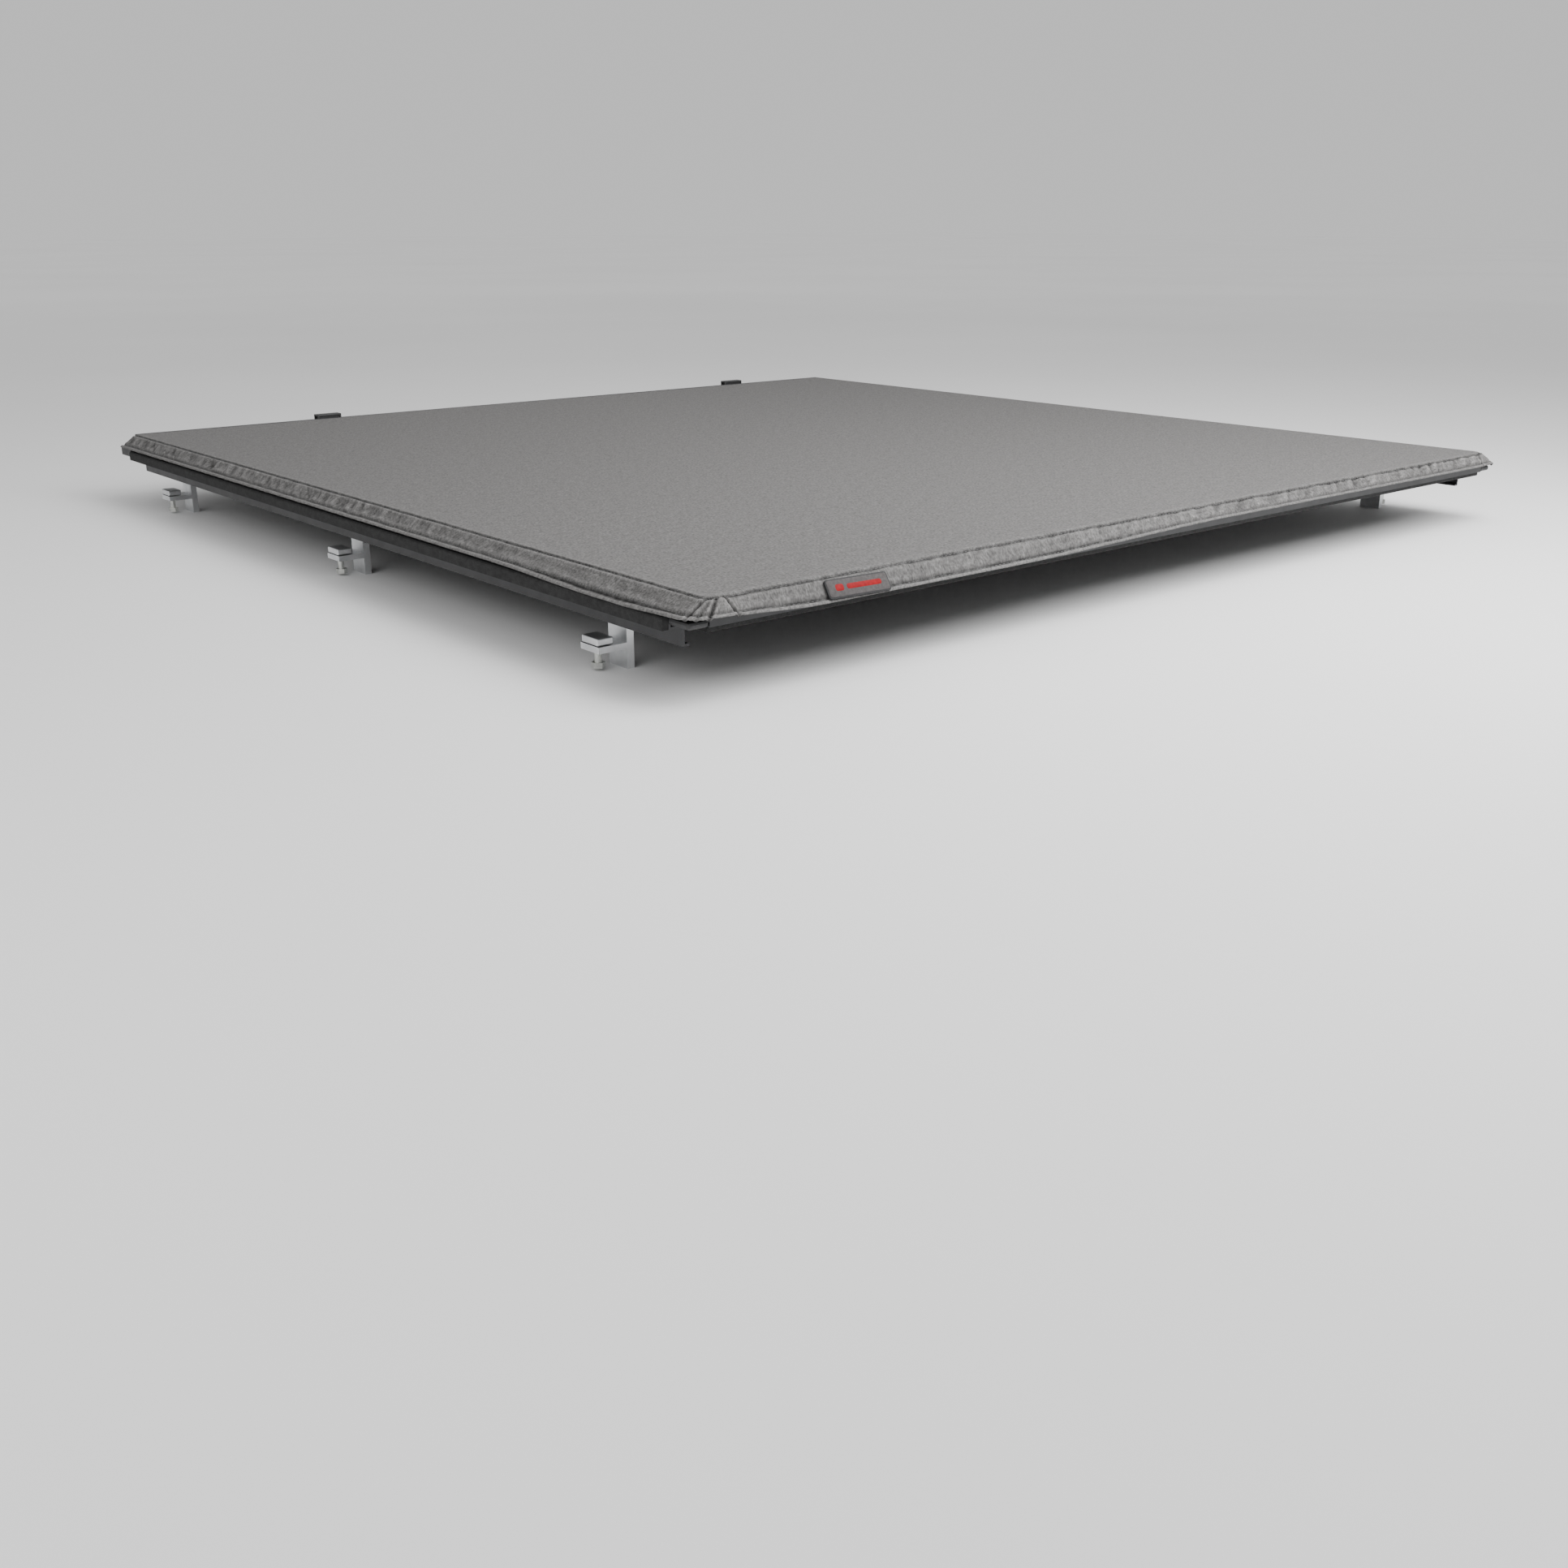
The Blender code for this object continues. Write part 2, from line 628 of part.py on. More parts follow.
def latches():
    """A slide bolt in a case on each end of the rear bar, and the block on the rail that it shoots into."""
    low_y, high_y = LATCH_Y - CASE_DEPTH / 2, LATCH_Y + CASE_DEPTH / 2
    for word, side in sides():
        case = box_on(
            f"latch_case_{word}",
            side,
            (CASE_X - CASE_LENGTH, CASE_X),
            (low_y, high_y),
            (SEAT_Z + CASE_FLOOR, rear_under_z(BAR_FRONT_Y)),
            plastic,
        )
        tip = CASE_X - TOUCH
        inner = tip - LATCH_LENGTH
        thumb = inner + THUMB_BACK
        bore = rod(
            f"latch_bore_{word}",
            (side * (CASE_X - CASE_LENGTH / 2), LATCH_Y, LATCH_AXIS_Z),
            "X",
            LATCH_R + BORE_PLAY,
            CASE_LENGTH * 2,
            plastic,
            group=cutters,
        )
        slot = box_on(
            f"thumb_slot_{word}",
            side,
            (thumb - THUMB_R - BORE_PLAY, thumb + LATCH_TRAVEL + THUMB_R + BORE_PLAY),
            (LATCH_Y - THUMB_R - BORE_PLAY, LATCH_Y + THUMB_R + BORE_PLAY),
            (SEAT_Z - THUMB_DROP, LATCH_AXIS_Z),
            plastic,
            group=cutters,
        )
        shape(case, "DIFFERENCE", bore)
        shape(case, "DIFFERENCE", slot)
        bolt = rod(
            f"latch_bolt_{word}",
            (side * (tip + inner) / 2, LATCH_Y, LATCH_AXIS_Z),
            "X",
            LATCH_R,
            LATCH_LENGTH,
            zinc,
        )
        pin = rod(
            f"thumb_pin_{word}",
            (side * thumb, LATCH_Y, LATCH_AXIS_Z - THUMB_DROP / 2),
            "Z",
            THUMB_R,
            THUMB_DROP,
            zinc,
            sides=16,
            group=cutters,
        )
        shape(bolt, "UNION", pin)
        striker = box_on(
            f"striker_{word}",
            side,
            (RAIL_X - TOUCH - STRIKER_DEPTH, RAIL_X - TOUCH),
            (LATCH_Y - STRIKER_WIDTH / 2, LATCH_Y + STRIKER_WIDTH / 2),
            (SEAT_Z - STRIKER_BELOW, LEDGE_TOP - RAIL_WALL - TOUCH),
            zinc,
            0.0008,
        )
        hole = rod(
            f"striker_hole_{word}",
            (side * (RAIL_X - STRIKER_DEPTH / 2), LATCH_Y, LATCH_AXIS_Z),
            "X",
            LATCH_R + BORE_PLAY,
            STRIKER_DEPTH * 2,
            zinc,
            group=cutters,
        )
        shape(striker, "DIFFERENCE", hole)


# ---------------------------------------------------------------- the clamps
def clamp_outline():
    """The right clamp's body, seen along the rail: a foot and spine, an upper arm that sits on the rail's
    foot, and a lower arm that the bolt runs through."""
    outer = RAIL_X - SPINE_OFF
    inner = outer - SPINE
    arm_z = LEG_BOTTOM + RAIL_WALL + LAY
    arm_x = RAIL_X - 2 * LAY
    reach = JAW_X + JAW_REACH
    return [
        (inner, 0),
        (outer, 0),
        (outer, LOWER_ARM_Z),
        (reach, LOWER_ARM_Z),
        (reach, LOWER_ARM_Z + LOWER_ARM),
        (outer, LOWER_ARM_Z + LOWER_ARM),
        (outer, arm_z),
        (arm_x, arm_z),
        (arm_x, arm_z + ARM_THICK),
        (inner, arm_z + ARM_THICK),
    ]


def clamps():
    number = 0
    for word, side in sides():
        for y in CLAMP_Y:
            number += 1
            body = prism(
                f"clamp_body_{number}",
                on_side(clamp_outline(), side),
                ALONG_Y,
                y - CLAMP_WIDTH / 2,
                y + CLAMP_WIDTH / 2,
                mill,
            )
            body = as_mesh(body)
            bore = rod(
                f"clamp_bore_{number}",
                (side * BOLT_X, y, LOWER_ARM_Z),
                "Z",
                BOLT_R + BORE_PLAY,
                LOWER_ARM * 4,
                mill,
                group=cutters,
            )
            shape(body, "DIFFERENCE", bore)
            box_on(
                f"clamp_jaw_{number}",
                side,
                (JAW_X, JAW_X + JAW_REACH),
                (y - JAW_WIDTH / 2, y + JAW_WIDTH / 2),
                (JAW_Z, JAW_Z + JAW_THICK),
                mill,
                0.0012,
            )
            top = JAW_Z - TOUCH
            shaft = rod(
                f"clamp_bolt_{number}",
                (side * BOLT_X, y, (top + BOLT_FOOT) / 2),
                "Z",
                BOLT_R,
                top - BOLT_FOOT,
                zinc,
            )
            head = rod(
                f"clamp_head_{number}",
                (side * BOLT_X, y, BOLT_FOOT + BOLT_HEAD / 2),
                "Z",
                BOLT_HEAD_R,
                BOLT_HEAD,
                zinc,
                sides=6,
                group=cutters,
            )
            shape(shaft, "UNION", head)


def hinges():
    """An empty on each hinge line, each carried by the one in front, so that the cover can be rolled up."""
    before = None
    for number, y in enumerate(hinge_lines(), 1):
        carried = [f"cover_panel_{number:02d}"]
        carried += [f"bow_{word}" for word, panel in BOW_PANELS.items() if panel == number]
        if number == HINGES:
            carried += ["rear_label", "rear_bar", "rear_seal"]
            for stem in ("rear_bar_end", "latch_case", "latch_bore", "thumb_slot", "latch_bolt", "thumb_pin"):
                carried += [f"{stem}_{word}" for word, _ in sides()]
        pieces = [bpy.data.objects[name] for name in carried]
        before = pivot(f"hinge_{number:02d}", (0, y, TOP_Z), pieces, before)


fabric()
label()
rails()
header()
straps()
bows()
rear_bar()
latches()
clamps()
hinges()
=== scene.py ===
# %% [markdown]
# # A soft roll-up tonneau cover
#
# A tonneau cover keeps rain and eyes off a pickup's load bed. This one is a single sheet of coated fabric.
# It lies on two side rails, is held down along its hems, and rolls up towards the cab.
# The hard parts come from a finished CAD model, the frame. This lesson makes the sheet, its sewing, the
# webbing and the small fittings, and gives every surface its finish.

# %% Open the frame
import json
import math
from collections import namedtuple

import bmesh
import bpy
from mathutils import Matrix, Vector, noise


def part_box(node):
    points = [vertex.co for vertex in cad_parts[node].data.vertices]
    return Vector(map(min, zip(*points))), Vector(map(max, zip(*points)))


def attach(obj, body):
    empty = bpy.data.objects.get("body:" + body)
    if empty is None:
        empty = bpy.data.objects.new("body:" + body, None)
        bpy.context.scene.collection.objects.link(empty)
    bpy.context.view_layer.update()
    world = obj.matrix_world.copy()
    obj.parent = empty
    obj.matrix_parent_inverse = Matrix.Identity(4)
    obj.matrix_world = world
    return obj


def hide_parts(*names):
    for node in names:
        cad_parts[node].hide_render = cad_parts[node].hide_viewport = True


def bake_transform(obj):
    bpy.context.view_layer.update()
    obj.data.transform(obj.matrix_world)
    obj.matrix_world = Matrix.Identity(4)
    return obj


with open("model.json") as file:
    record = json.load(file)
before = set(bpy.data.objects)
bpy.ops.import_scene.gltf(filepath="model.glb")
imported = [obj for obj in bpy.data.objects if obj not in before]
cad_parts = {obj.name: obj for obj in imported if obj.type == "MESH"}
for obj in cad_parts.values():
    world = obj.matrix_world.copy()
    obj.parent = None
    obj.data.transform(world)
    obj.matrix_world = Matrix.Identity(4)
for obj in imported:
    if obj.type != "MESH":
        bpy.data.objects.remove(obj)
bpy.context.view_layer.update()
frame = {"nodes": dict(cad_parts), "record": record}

# %% [markdown]
# ## The camera
#
# The cover is seen from behind its left rear corner, from a little above. A camera looks along its own -Z.
# It could be aimed by three angles, but those are hard to picture, so the direction of view is written as a
# heading and a dip, and Blender turns the camera to it. Its place is measured from the rear seam, because
# that is the edge nearest to the camera.

# %% Place the camera
SEAM_BEHIND_BAR = 0.030    # the rear seam, behind the rear bar's front face
LENS, SENSOR = 36.03, 36   # millimetres
HEADING, DIP = math.radians(40.29), math.radians(19.94)
EYE_LEFT, EYE_BEHIND, EYE_HEIGHT = 1.664, 1.183, 0.453

seam_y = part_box("rear_bar")[1].y - SEAM_BEHIND_BAR
lens = bpy.data.cameras.new("view")
lens.lens = LENS
lens.sensor_width = SENSOR
lens.clip_start = 0.02
camera = bpy.data.objects.new("view", lens)
bpy.context.scene.collection.objects.link(camera)
level = math.cos(DIP)
look = Vector((math.sin(HEADING) * level, math.cos(HEADING) * level, -math.sin(DIP)))
camera.location = (-EYE_LEFT, seam_y - EYE_BEHIND, EYE_HEIGHT)
camera.rotation_euler = look.to_track_quat("-Z", "Y").to_euler()
bpy.context.scene.camera = camera
print("camera at", [round(v, 3) for v in camera.location])

# %% [markdown]
# ## Materials from a few nodes
#
# Every finish here is the same idea: patches of noise choose between near tones, and finer noise bends the
# light a little, which is what grain and wear look like. Each material could be wired by hand, but then
# the same dozen nodes would be written many times. One helper builds them, so that each finish only states
# its tones, its roughness and the size of its grain. Noise is read in metres: on fabric from its UV map, so
# that the pattern stays on the cloth when it bends, and on hard parts from Object coordinates.


# %% Helpers for nodes
def add(tree, kind, inputs, **settings):
    """A node of that kind, with its settings made and its inputs filled or linked."""
    made = tree.nodes.new("ShaderNode" + kind)
    for key, value in settings.items():
        setattr(made, key, value)
    for key, value in inputs.items():
        if isinstance(value, bpy.types.NodeSocket):
            tree.links.new(value, made.inputs[key])
        else:
            made.inputs[key].default_value = value
    return made


def ramp(tree, factor, stops):
    """A colour ramp through (position, colour) stops."""
    made = add(tree, "ValToRGB", {"Fac": factor})
    band = made.color_ramp.elements
    while len(band) < len(stops):
        band.new(1)
    for stop, (place, tone) in zip(band, stops):
        stop.position = place
        stop.color = (*tone, 1)
    return made.outputs["Color"]


def noise_at(tree, source, size, stretch=(1, 1, 1), detail=2.0):
    """Noise whose patches are about size metres across. A stretch under 1 draws them out into streaks."""
    scale = [s / size for s in stretch]
    where = add(tree, "Mapping", {"Vector": source, "Scale": scale}).outputs["Vector"]
    return add(tree, "TexNoise", {"Vector": where, "Scale": 1.0, "Detail": detail}).outputs["Fac"]


def spread(tree, value, low, high, start=0.0, stop=1.0):
    """A value from start to stop, spread over low to high."""
    limits = {"From Min": start, "From Max": stop, "To Min": low, "To Max": high}
    return add(tree, "MapRange", {"Value": value, **limits}).outputs["Result"]


def scaled(tree, colour, factor):
    """A colour made darker or brighter."""
    return add(tree, "VectorMath", {0: colour, "Scale": factor}, operation="SCALE").outputs["Vector"]


print("node helpers ready")

# %% [markdown]
# ## One recipe for every finish
#
# A real finish differs in three ways from place to place: in colour, in how dull it is, and in its height.
# So the recipe takes the tones and how large their patches are, the least and most roughness, and a list
# of grains. Each grain is a bump, and they are chained, because every Bump node bends the normal of the one
# before it.


# %% The recipe
def finish(name, tones, patch, dull, grains, metallic=0.0, coordinates="Object", recolour=None, gloss=0.5):
    """A material: tones over patches, roughness between the two of dull, grains (size, height, stretch)."""
    made = bpy.data.materials.new(name)
    made.use_nodes = True
    tree = made.node_tree
    shader = tree.nodes["Principled BSDF"]
    shader.inputs["Metallic"].default_value = metallic
    shader.inputs["Specular IOR Level"].default_value = gloss
    source = add(tree, "TexCoord", {}).outputs[coordinates]
    colour = ramp(tree, noise_at(tree, source, patch, detail=4.0), tones)
    # recolour changes the colour further: speckle and painted light on the sheet, a brightening with distance
    # on the floor.
    if recolour:
        colour = recolour(tree, source, colour)
    tree.links.new(colour, shader.inputs["Base Color"])
    worn = noise_at(tree, source, patch * 0.6, detail=3.0)
    tree.links.new(spread(tree, worn, *dull), shader.inputs["Roughness"])
    normal = None
    for size, height, stretch in grains:
        fill = {"Height": noise_at(tree, source, size, stretch), "Strength": 1.0, "Distance": height}
        if normal:
            fill["Normal"] = normal
        normal = add(tree, "Bump", fill).outputs["Normal"]
    if normal:
        tree.links.new(normal, shader.inputs["Normal"])
    return made


EVEN = (1, 1, 1)   # a grain that isn't drawn out
print("the recipe for a finish is ready")

# %% [markdown]
# ## Finishes of the sheet
#
# The top is vinyl pressed with a canvas grain and printed in several near greys, so close up it is a
# salt-and-pepper speckle and from further off a flat warm grey. A woven pattern of waves would repeat and
# shimmer from afar. Instead two noises, each drawn out along one direction of the weave, cross each other
# like threads but never repeat. The mesh carries a value named tone, which paints light and shade into the
# colour: it is 1 on plain cloth, low, as painted shade, in the line that the needle pressed, and a little
# over 1, as a painted highlight, on the raised tops of the puckers. The back is a plain black knit.

# %% Make the cloth finishes
THREAD_WIDTH, MOTTLE_SIZE = 0.0017, 0.0042


def speckle_and_painted_light(tree, source, colour):
    """Pale and dark flecks over the printed greys, then the painted shade and highlight of the mesh's tone.
    """
    warp = noise_at(tree, source, THREAD_WIDTH, (0.45, 1, 1), 1.0)
    weft = noise_at(tree, source, THREAD_WIDTH, (1, 0.45, 1), 1.0)
    both = add(tree, "Math", {0: warp, 1: weft}, operation="ADD").outputs[0]
    flecked = scaled(tree, colour, spread(tree, both, 0.62, 1.38, 0.7, 1.3))
    mottle = noise_at(tree, source, MOTTLE_SIZE, EVEN, 2.0)
    printed = scaled(tree, flecked, spread(tree, mottle, 0.86, 1.14, 0.3, 0.7))
    # The tone attribute paints shade into grooves and creases, and highlights onto ridges.
    return scaled(tree, printed, add(tree, "Attribute", {}, attribute_name="tone").outputs["Fac"])


canvas_vinyl = finish(
    "canvas_grain_vinyl",
    tones=[(0.3, (0.106, 0.103, 0.101)), (0.5, (0.120, 0.117, 0.115)), (0.7, (0.133, 0.130, 0.128))],
    patch=0.012,
    dull=(0.60, 0.76),
    grains=[(0.0012, 0.00026, (0.5, 1, 1)), (0.0012, 0.00026, (1, 0.5, 1)), (0.02, 0.0004, EVEN)],
    coordinates="UV",
    recolour=speckle_and_painted_light,
    gloss=0.18,
)
knit_back = finish(
    "black_knit_backing",
    tones=[(0.35, (0.018, 0.018, 0.019)), (0.65, (0.036, 0.036, 0.038))],
    patch=0.004,
    dull=(0.85, 0.95),
    grains=[(0.0008, 0.0002, (1, 0.4, 1)), (0.0014, 0.0002, (0.4, 1, 1))],
    coordinates="UV",
)
thread = finish(
    "grey_bonded_thread",
    tones=[(0.4, (0.055, 0.055, 0.056)), (0.6, (0.12, 0.12, 0.12))],
    patch=0.002,
    dull=(0.5, 0.7),
    grains=[(0.0006, 0.0001, EVEN)],
)
print("cloth finishes:", canvas_vinyl.name, knit_back.name, thread.name)

# %% [markdown]
# ## Finishes of the metal parts
#
# The rails and bars are aluminium, powder coated: matt black with a fine orange peel. The bows and clamps
# are left bare. Bare extrusion has long streaks from the die, so its noise is drawn out along the bar,
# which is across the truck on a bow and along it on a clamp. The screws and bolts are steel with a zinc
# plate, which is a little blotchy. All but the coat are fully metallic, since a metal's colour is the
# colour of its reflections.

# %% Make the metal finishes
powder_coat = finish(
    "black_powder_coat",
    tones=[(0.4, (0.010, 0.010, 0.0115)), (0.62, (0.015, 0.015, 0.017)), (0.8, (0.022, 0.022, 0.024))],
    patch=0.03,
    dull=(0.38, 0.56),
    grains=[(0.0012, 0.00012, EVEN), (0.05, 0.0002, (1, 0.05, 1))],
)
mill_across = finish(
    "extruded_aluminium_across",
    tones=[(0.3, (0.55, 0.56, 0.57)), (0.6, (0.68, 0.69, 0.70)), (0.8, (0.76, 0.77, 0.78))],
    patch=0.05,
    dull=(0.26, 0.44),
    grains=[(0.0009, 0.00008, (0.01, 1, 1)), (0.006, 0.00006, EVEN)],
    metallic=1.0,
)
mill_along = finish(
    "extruded_aluminium_along",
    tones=[(0.3, (0.52, 0.53, 0.54)), (0.6, (0.66, 0.67, 0.68)), (0.8, (0.74, 0.75, 0.76))],
    patch=0.03,
    dull=(0.28, 0.46),
    grains=[(0.0009, 0.00009, (1, 0.02, 1)), (0.005, 0.00006, EVEN)],
    metallic=1.0,
)
zinc_plate = finish(
    "zinc_plate",
    tones=[(0.3, (0.48, 0.49, 0.47)), (0.55, (0.62, 0.63, 0.60)), (0.8, (0.72, 0.71, 0.66))],
    patch=0.008,
    dull=(0.24, 0.48),
    grains=[(0.0015, 0.00005, EVEN)],
    metallic=1.0,
)
print("metal finishes:", powder_coat.name, mill_across.name, mill_along.name, zinc_plate.name)

# %% [markdown]
# ## Finishes of the plastic, rubber and woven parts
#
# These are all black, so what tells them apart is how they take the light. Moulded nylon has a fine even
# grain and some gloss. Sponge rubber is full of small pits, and loop tape is a pile with no gloss at all.
# Webbing has ribs across it, so its bumps are drawn out along X.

# %% Make the soft black finishes
nylon = finish(
    "moulded_black_nylon",
    tones=[(0.4, (0.014, 0.014, 0.015)), (0.7, (0.026, 0.026, 0.027))],
    patch=0.02,
    dull=(0.42, 0.62),
    grains=[(0.0007, 0.00008, EVEN)],
)
sponge = finish(
    "sponge_rubber",
    tones=[(0.35, (0.008, 0.008, 0.008)), (0.7, (0.022, 0.022, 0.022))],
    patch=0.006,
    dull=(0.85, 0.97),
    grains=[(0.0013, 0.0006, EVEN), (0.0005, 0.0002, EVEN)],
)
loop_tape = finish(
    "hook_and_loop_tape",
    tones=[(0.35, (0.012, 0.012, 0.013)), (0.7, (0.034, 0.034, 0.036))],
    patch=0.003,
    dull=(0.9, 1.0),
    grains=[(0.0009, 0.0005, EVEN)],
)
webbing = finish(
    "black_webbing",
    tones=[(0.4, (0.013, 0.013, 0.015)), (0.7, (0.028, 0.028, 0.031))],
    patch=0.01,
    dull=(0.6, 0.8),
    grains=[(0.0016, 0.0003, (0.25, 1, 1)), (0.0008, 0.00015, (1, 0.3, 0.3))],
)
print("soft black finishes:", nylon.name, sponge.name, loop_tape.name, webbing.name)

# %% [markdown]
# ## Dress the frame
#
# The frame's own parts keep their shapes and only get a finish. Their names start with what they are, so a
# table of name and finish is enough. Where two names fit, as with a bar and its end, the longer one wins.

# %% Give the frame its finishes
FINISHES = {
    "header_bar": powder_coat, "side_rail": powder_coat, "rear_bar": powder_coat,
    "header_end": nylon, "rear_bar_end": nylon, "latch_case": nylon,
    "header_seal": sponge, "rail_seal": sponge, "rear_seal": sponge,
    "loop_tape": loop_tape, "bow": mill_across, "clamp_body": mill_along, "clamp_jaw": mill_along,
    "clamp_bolt": zinc_plate, "latch_bolt": zinc_plate, "striker": zinc_plate,
}
dressed = 0
for name, node in frame["nodes"].items():
    stems = [stem for stem in FINISHES if name.startswith(stem)]
    if stems:
        node.data.materials.clear()
        node.data.materials.append(FINISHES[max(stems, key=len)])
        dressed += 1
print("frame pieces given a finish:", dressed)

# %% [markdown]
# ## The shape of the sheet
#
# The sheet is cut as one flat rectangle. Its middle lies flat and tight. Past a seam on each side, and
# another at the rear, the hem slopes down over the rail. The hem is gathered a little as it is sewn, so it
# is puckered, and a second row of stitches leaves a rolled lip along its edge. A cloth simulation would
# have to be told all of this, and it can't make sewing as fine as this. So the shape is one function,
# which turns a point of the flat cut into its place on the cover. Everything that is sewn to the sheet asks
# the same function where the cloth is, so nothing floats or sinks.

# %% Measure the sheet
HEM_DROP = 0.017
RIDGE_PROUD = 0.0003       # the fold at the edge of the flat top, outside the header's end

top_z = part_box("cover_panel_05")[1].z
edge_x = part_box("cover_panel_05")[1].x
ridge_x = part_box("header_bar")[1].x + RIDGE_PROUD
front_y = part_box("cover_panel_00")[1].y
rear_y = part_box("cover_panel_13")[0].y
SIDE_RUN, REAR_RUN = edge_x - ridge_x, seam_y - rear_y
SIDE_LENGTH, REAR_LENGTH = math.hypot(SIDE_RUN, HEM_DROP), math.hypot(REAR_RUN, HEM_DROP)
rolls = [j for j in frame["record"]["behaviour"]["joints"] if j["name"].startswith("roll_")]
hinges = [Vector(roll["pos_m"]).y for roll in rolls]
print("flat top", round(2 * ridge_x, 3), "by", round(front_y - seam_y, 3), "m; hinge lines", len(hinges))


# %% Three small curves
def ease(low, high, value):
    """0 below low, 1 above high, and a smooth step between them."""
    t = min(max((value - low) / (high - low), 0), 1)
    return t * t * (3 - 2 * t)


def bell(distance, width):
    """1 at no distance, falling away over width."""
    return math.exp(-((distance / width) ** 2))


def rough(x, y, layer):
    """Smooth noise from about -0.7 to 0.7. Each layer is a different one."""
    return noise.noise(Vector((x, y, layer)))


print("half way up a step:", ease(0, 1, 0.5), " one width from a bell:", round(bell(1, 1), 3))

# %% [markdown]
# ## What sewing does to the cloth
#
# Five lines run along a hem. Two are grooves, where the rows of stitches pull the cloth down. Beside them
# are three soft ridges: a bead outside the seam, a shoulder before the lip, and the rolled lip itself. Each
# is a bell curve of the distance from the fold. The stitches never run quite straight, so the grooves
# wander a little. The grooves are painted darker, as painted shade, most where the thread is pulled tight,
# and the ridges are painted lighter, as painted highlights.

# %% Lines along the hem
SIDE_SEAM, REAR_SEAM = 0.0026, 0.0044  # first row of stitches, outside the fold at the edge of the flat top
LIP_AT = 0.79                          # second row of stitches, as a share of the hem
BEAD_OUT, SHOULDER_IN = 0.0046, 0.0048  # from the first row outwards, and from the second row inwards

# A line's tone is painted light: a painted highlight on a ridge, or the painted shade taken off in a groove.
Line = namedtuple("Line", "width height tone")
SEAM_GROOVE = Line(0.0019, 0.0015, 0.86)
LIP_GROOVE = Line(0.0015, 0.0014, 0.45)
BEAD = Line(0.0022, 0.0010, 0.20)
SHOULDER = Line(0.0024, 0.0007, 0.14)
ROLLED_LIP = Line(0.0016, 0.0008, 0.42)
WANDER, WANDER_LONG = 0.0008, 0.03     # how far the stitches stray, and over what length
# Painted shade: the darkness of the grooves varies over this length.
GROOVE_SHADE_LONG = 0.011                      # length over which the thread is pulled more or less tight
# Painted shade: the lip's groove is darker where the lip hangs.
SAGGED_LIP_SHADE = 0.4                       # darker where the lip hangs
# Painted shade: the sloping hem faces away from the light above.
HEM_PAINTED_SHADE = 0.12                       # the slope of the hem is a little darker than the flat top


def sewn_lines(out, length, seam_out, lip_out, along, droop):
    """Height, and tone of painted shade and highlight, that the rows of stitches give the cloth, at a
    distance out from the fold.
    """
    share = out / length
    wander = WANDER * rough(along / WANDER_LONG, 0, 4.4)
    seam = bell(out - seam_out - wander, SEAM_GROOVE.width)
    lip = bell(out - lip_out - wander, LIP_GROOVE.width)
    bead = bell(out - seam_out - BEAD_OUT, BEAD.width)
    shoulder = bell(out - lip_out + SHOULDER_IN, SHOULDER.width)
    rolled = bell(out - (lip_out + length) / 2, ROLLED_LIP.width)
    rise = BEAD.height * bead + ROLLED_LIP.height * rolled + SHOULDER.height * shoulder
    rise -= SEAM_GROOVE.height * seam + LIP_GROOVE.height * lip
    # Painted shade over the slope of the hem.
    tone = 1 - HEM_PAINTED_SHADE * ease(0.15, 0.3, share)
    # Painted highlights on the bead, the shoulder and the rolled lip.
    tone += BEAD.tone * bead + ROLLED_LIP.tone * rolled + SHOULDER.tone * shoulder
    # Painted shade in the grooves, deeper where the thread is pulled tight.
    pulled = 0.9 + 0.8 * rough(along / GROOVE_SHADE_LONG, share, 8.8)
    tone -= (SEAM_GROOVE.tone * seam + (LIP_GROOVE.tone + SAGGED_LIP_SHADE * droop) * lip) * pulled
    return rise, tone


middle_of_seam = sewn_lines(SIDE_SEAM, SIDE_LENGTH, SIDE_SEAM, LIP_AT * SIDE_LENGTH, 0, 0)
print("height and tone in the side seam:", [round(v, 4) for v in middle_of_seam])

# %% [markdown]
# ## Puckers
#
# Between its two rows of stitches the hem has more cloth than it needs, so it gathers into slanting folds.
# Three noises of different size and slant make them: broad puckers, fine wrinkles, and sharp creases,
# which are the thin lines where a noise passes through zero. Where the hem is hardly gathered it is pulled
# along instead, which shows as long faint streaks. Each also paints the cloth lighter where it rises, as a
# painted highlight, and darker where it sinks and in the creases, as painted shade.

# %% Folds across the hem
# A fold's tone is painted light: lighter where it raises the cloth, darker where it sinks or creases it.
Fold = namedtuple("Fold", "slant long wide layer height tone")
PUCKER = Fold(0.6, 0.0105, 0.020, 3.7, 0.0024, 0.46)
WRINKLE = Fold(-0.3, 0.006, 0.008, 9.1, 0.0008, 0.20)
CREASE = Fold(0.8, 0.019, 0.03, 6.3, 0.0007, 0.26)
STREAK = Fold(0, 0.06, 0.0042, 1.9, 0.0007, 0.30)
CREASE_SHARP = 8
GATHERS_START, GATHERS_END = (0.12, 0.26), (0.66, 0.78)  # shares of the hem over which they grow and fade
# The edge's waves are painted lighter and darker too, as painted highlight and shade.
EDGE_WAVES, EDGE_WAVE, EDGE_TONE = (0.8, 0.95), 0.0008, 0.2  # the hem's edge waves a little with them


def folded(kind, out, along):
    """The noise of one kind of fold."""
    return rough((along + kind.slant * out) / kind.long, out / kind.wide, kind.layer)


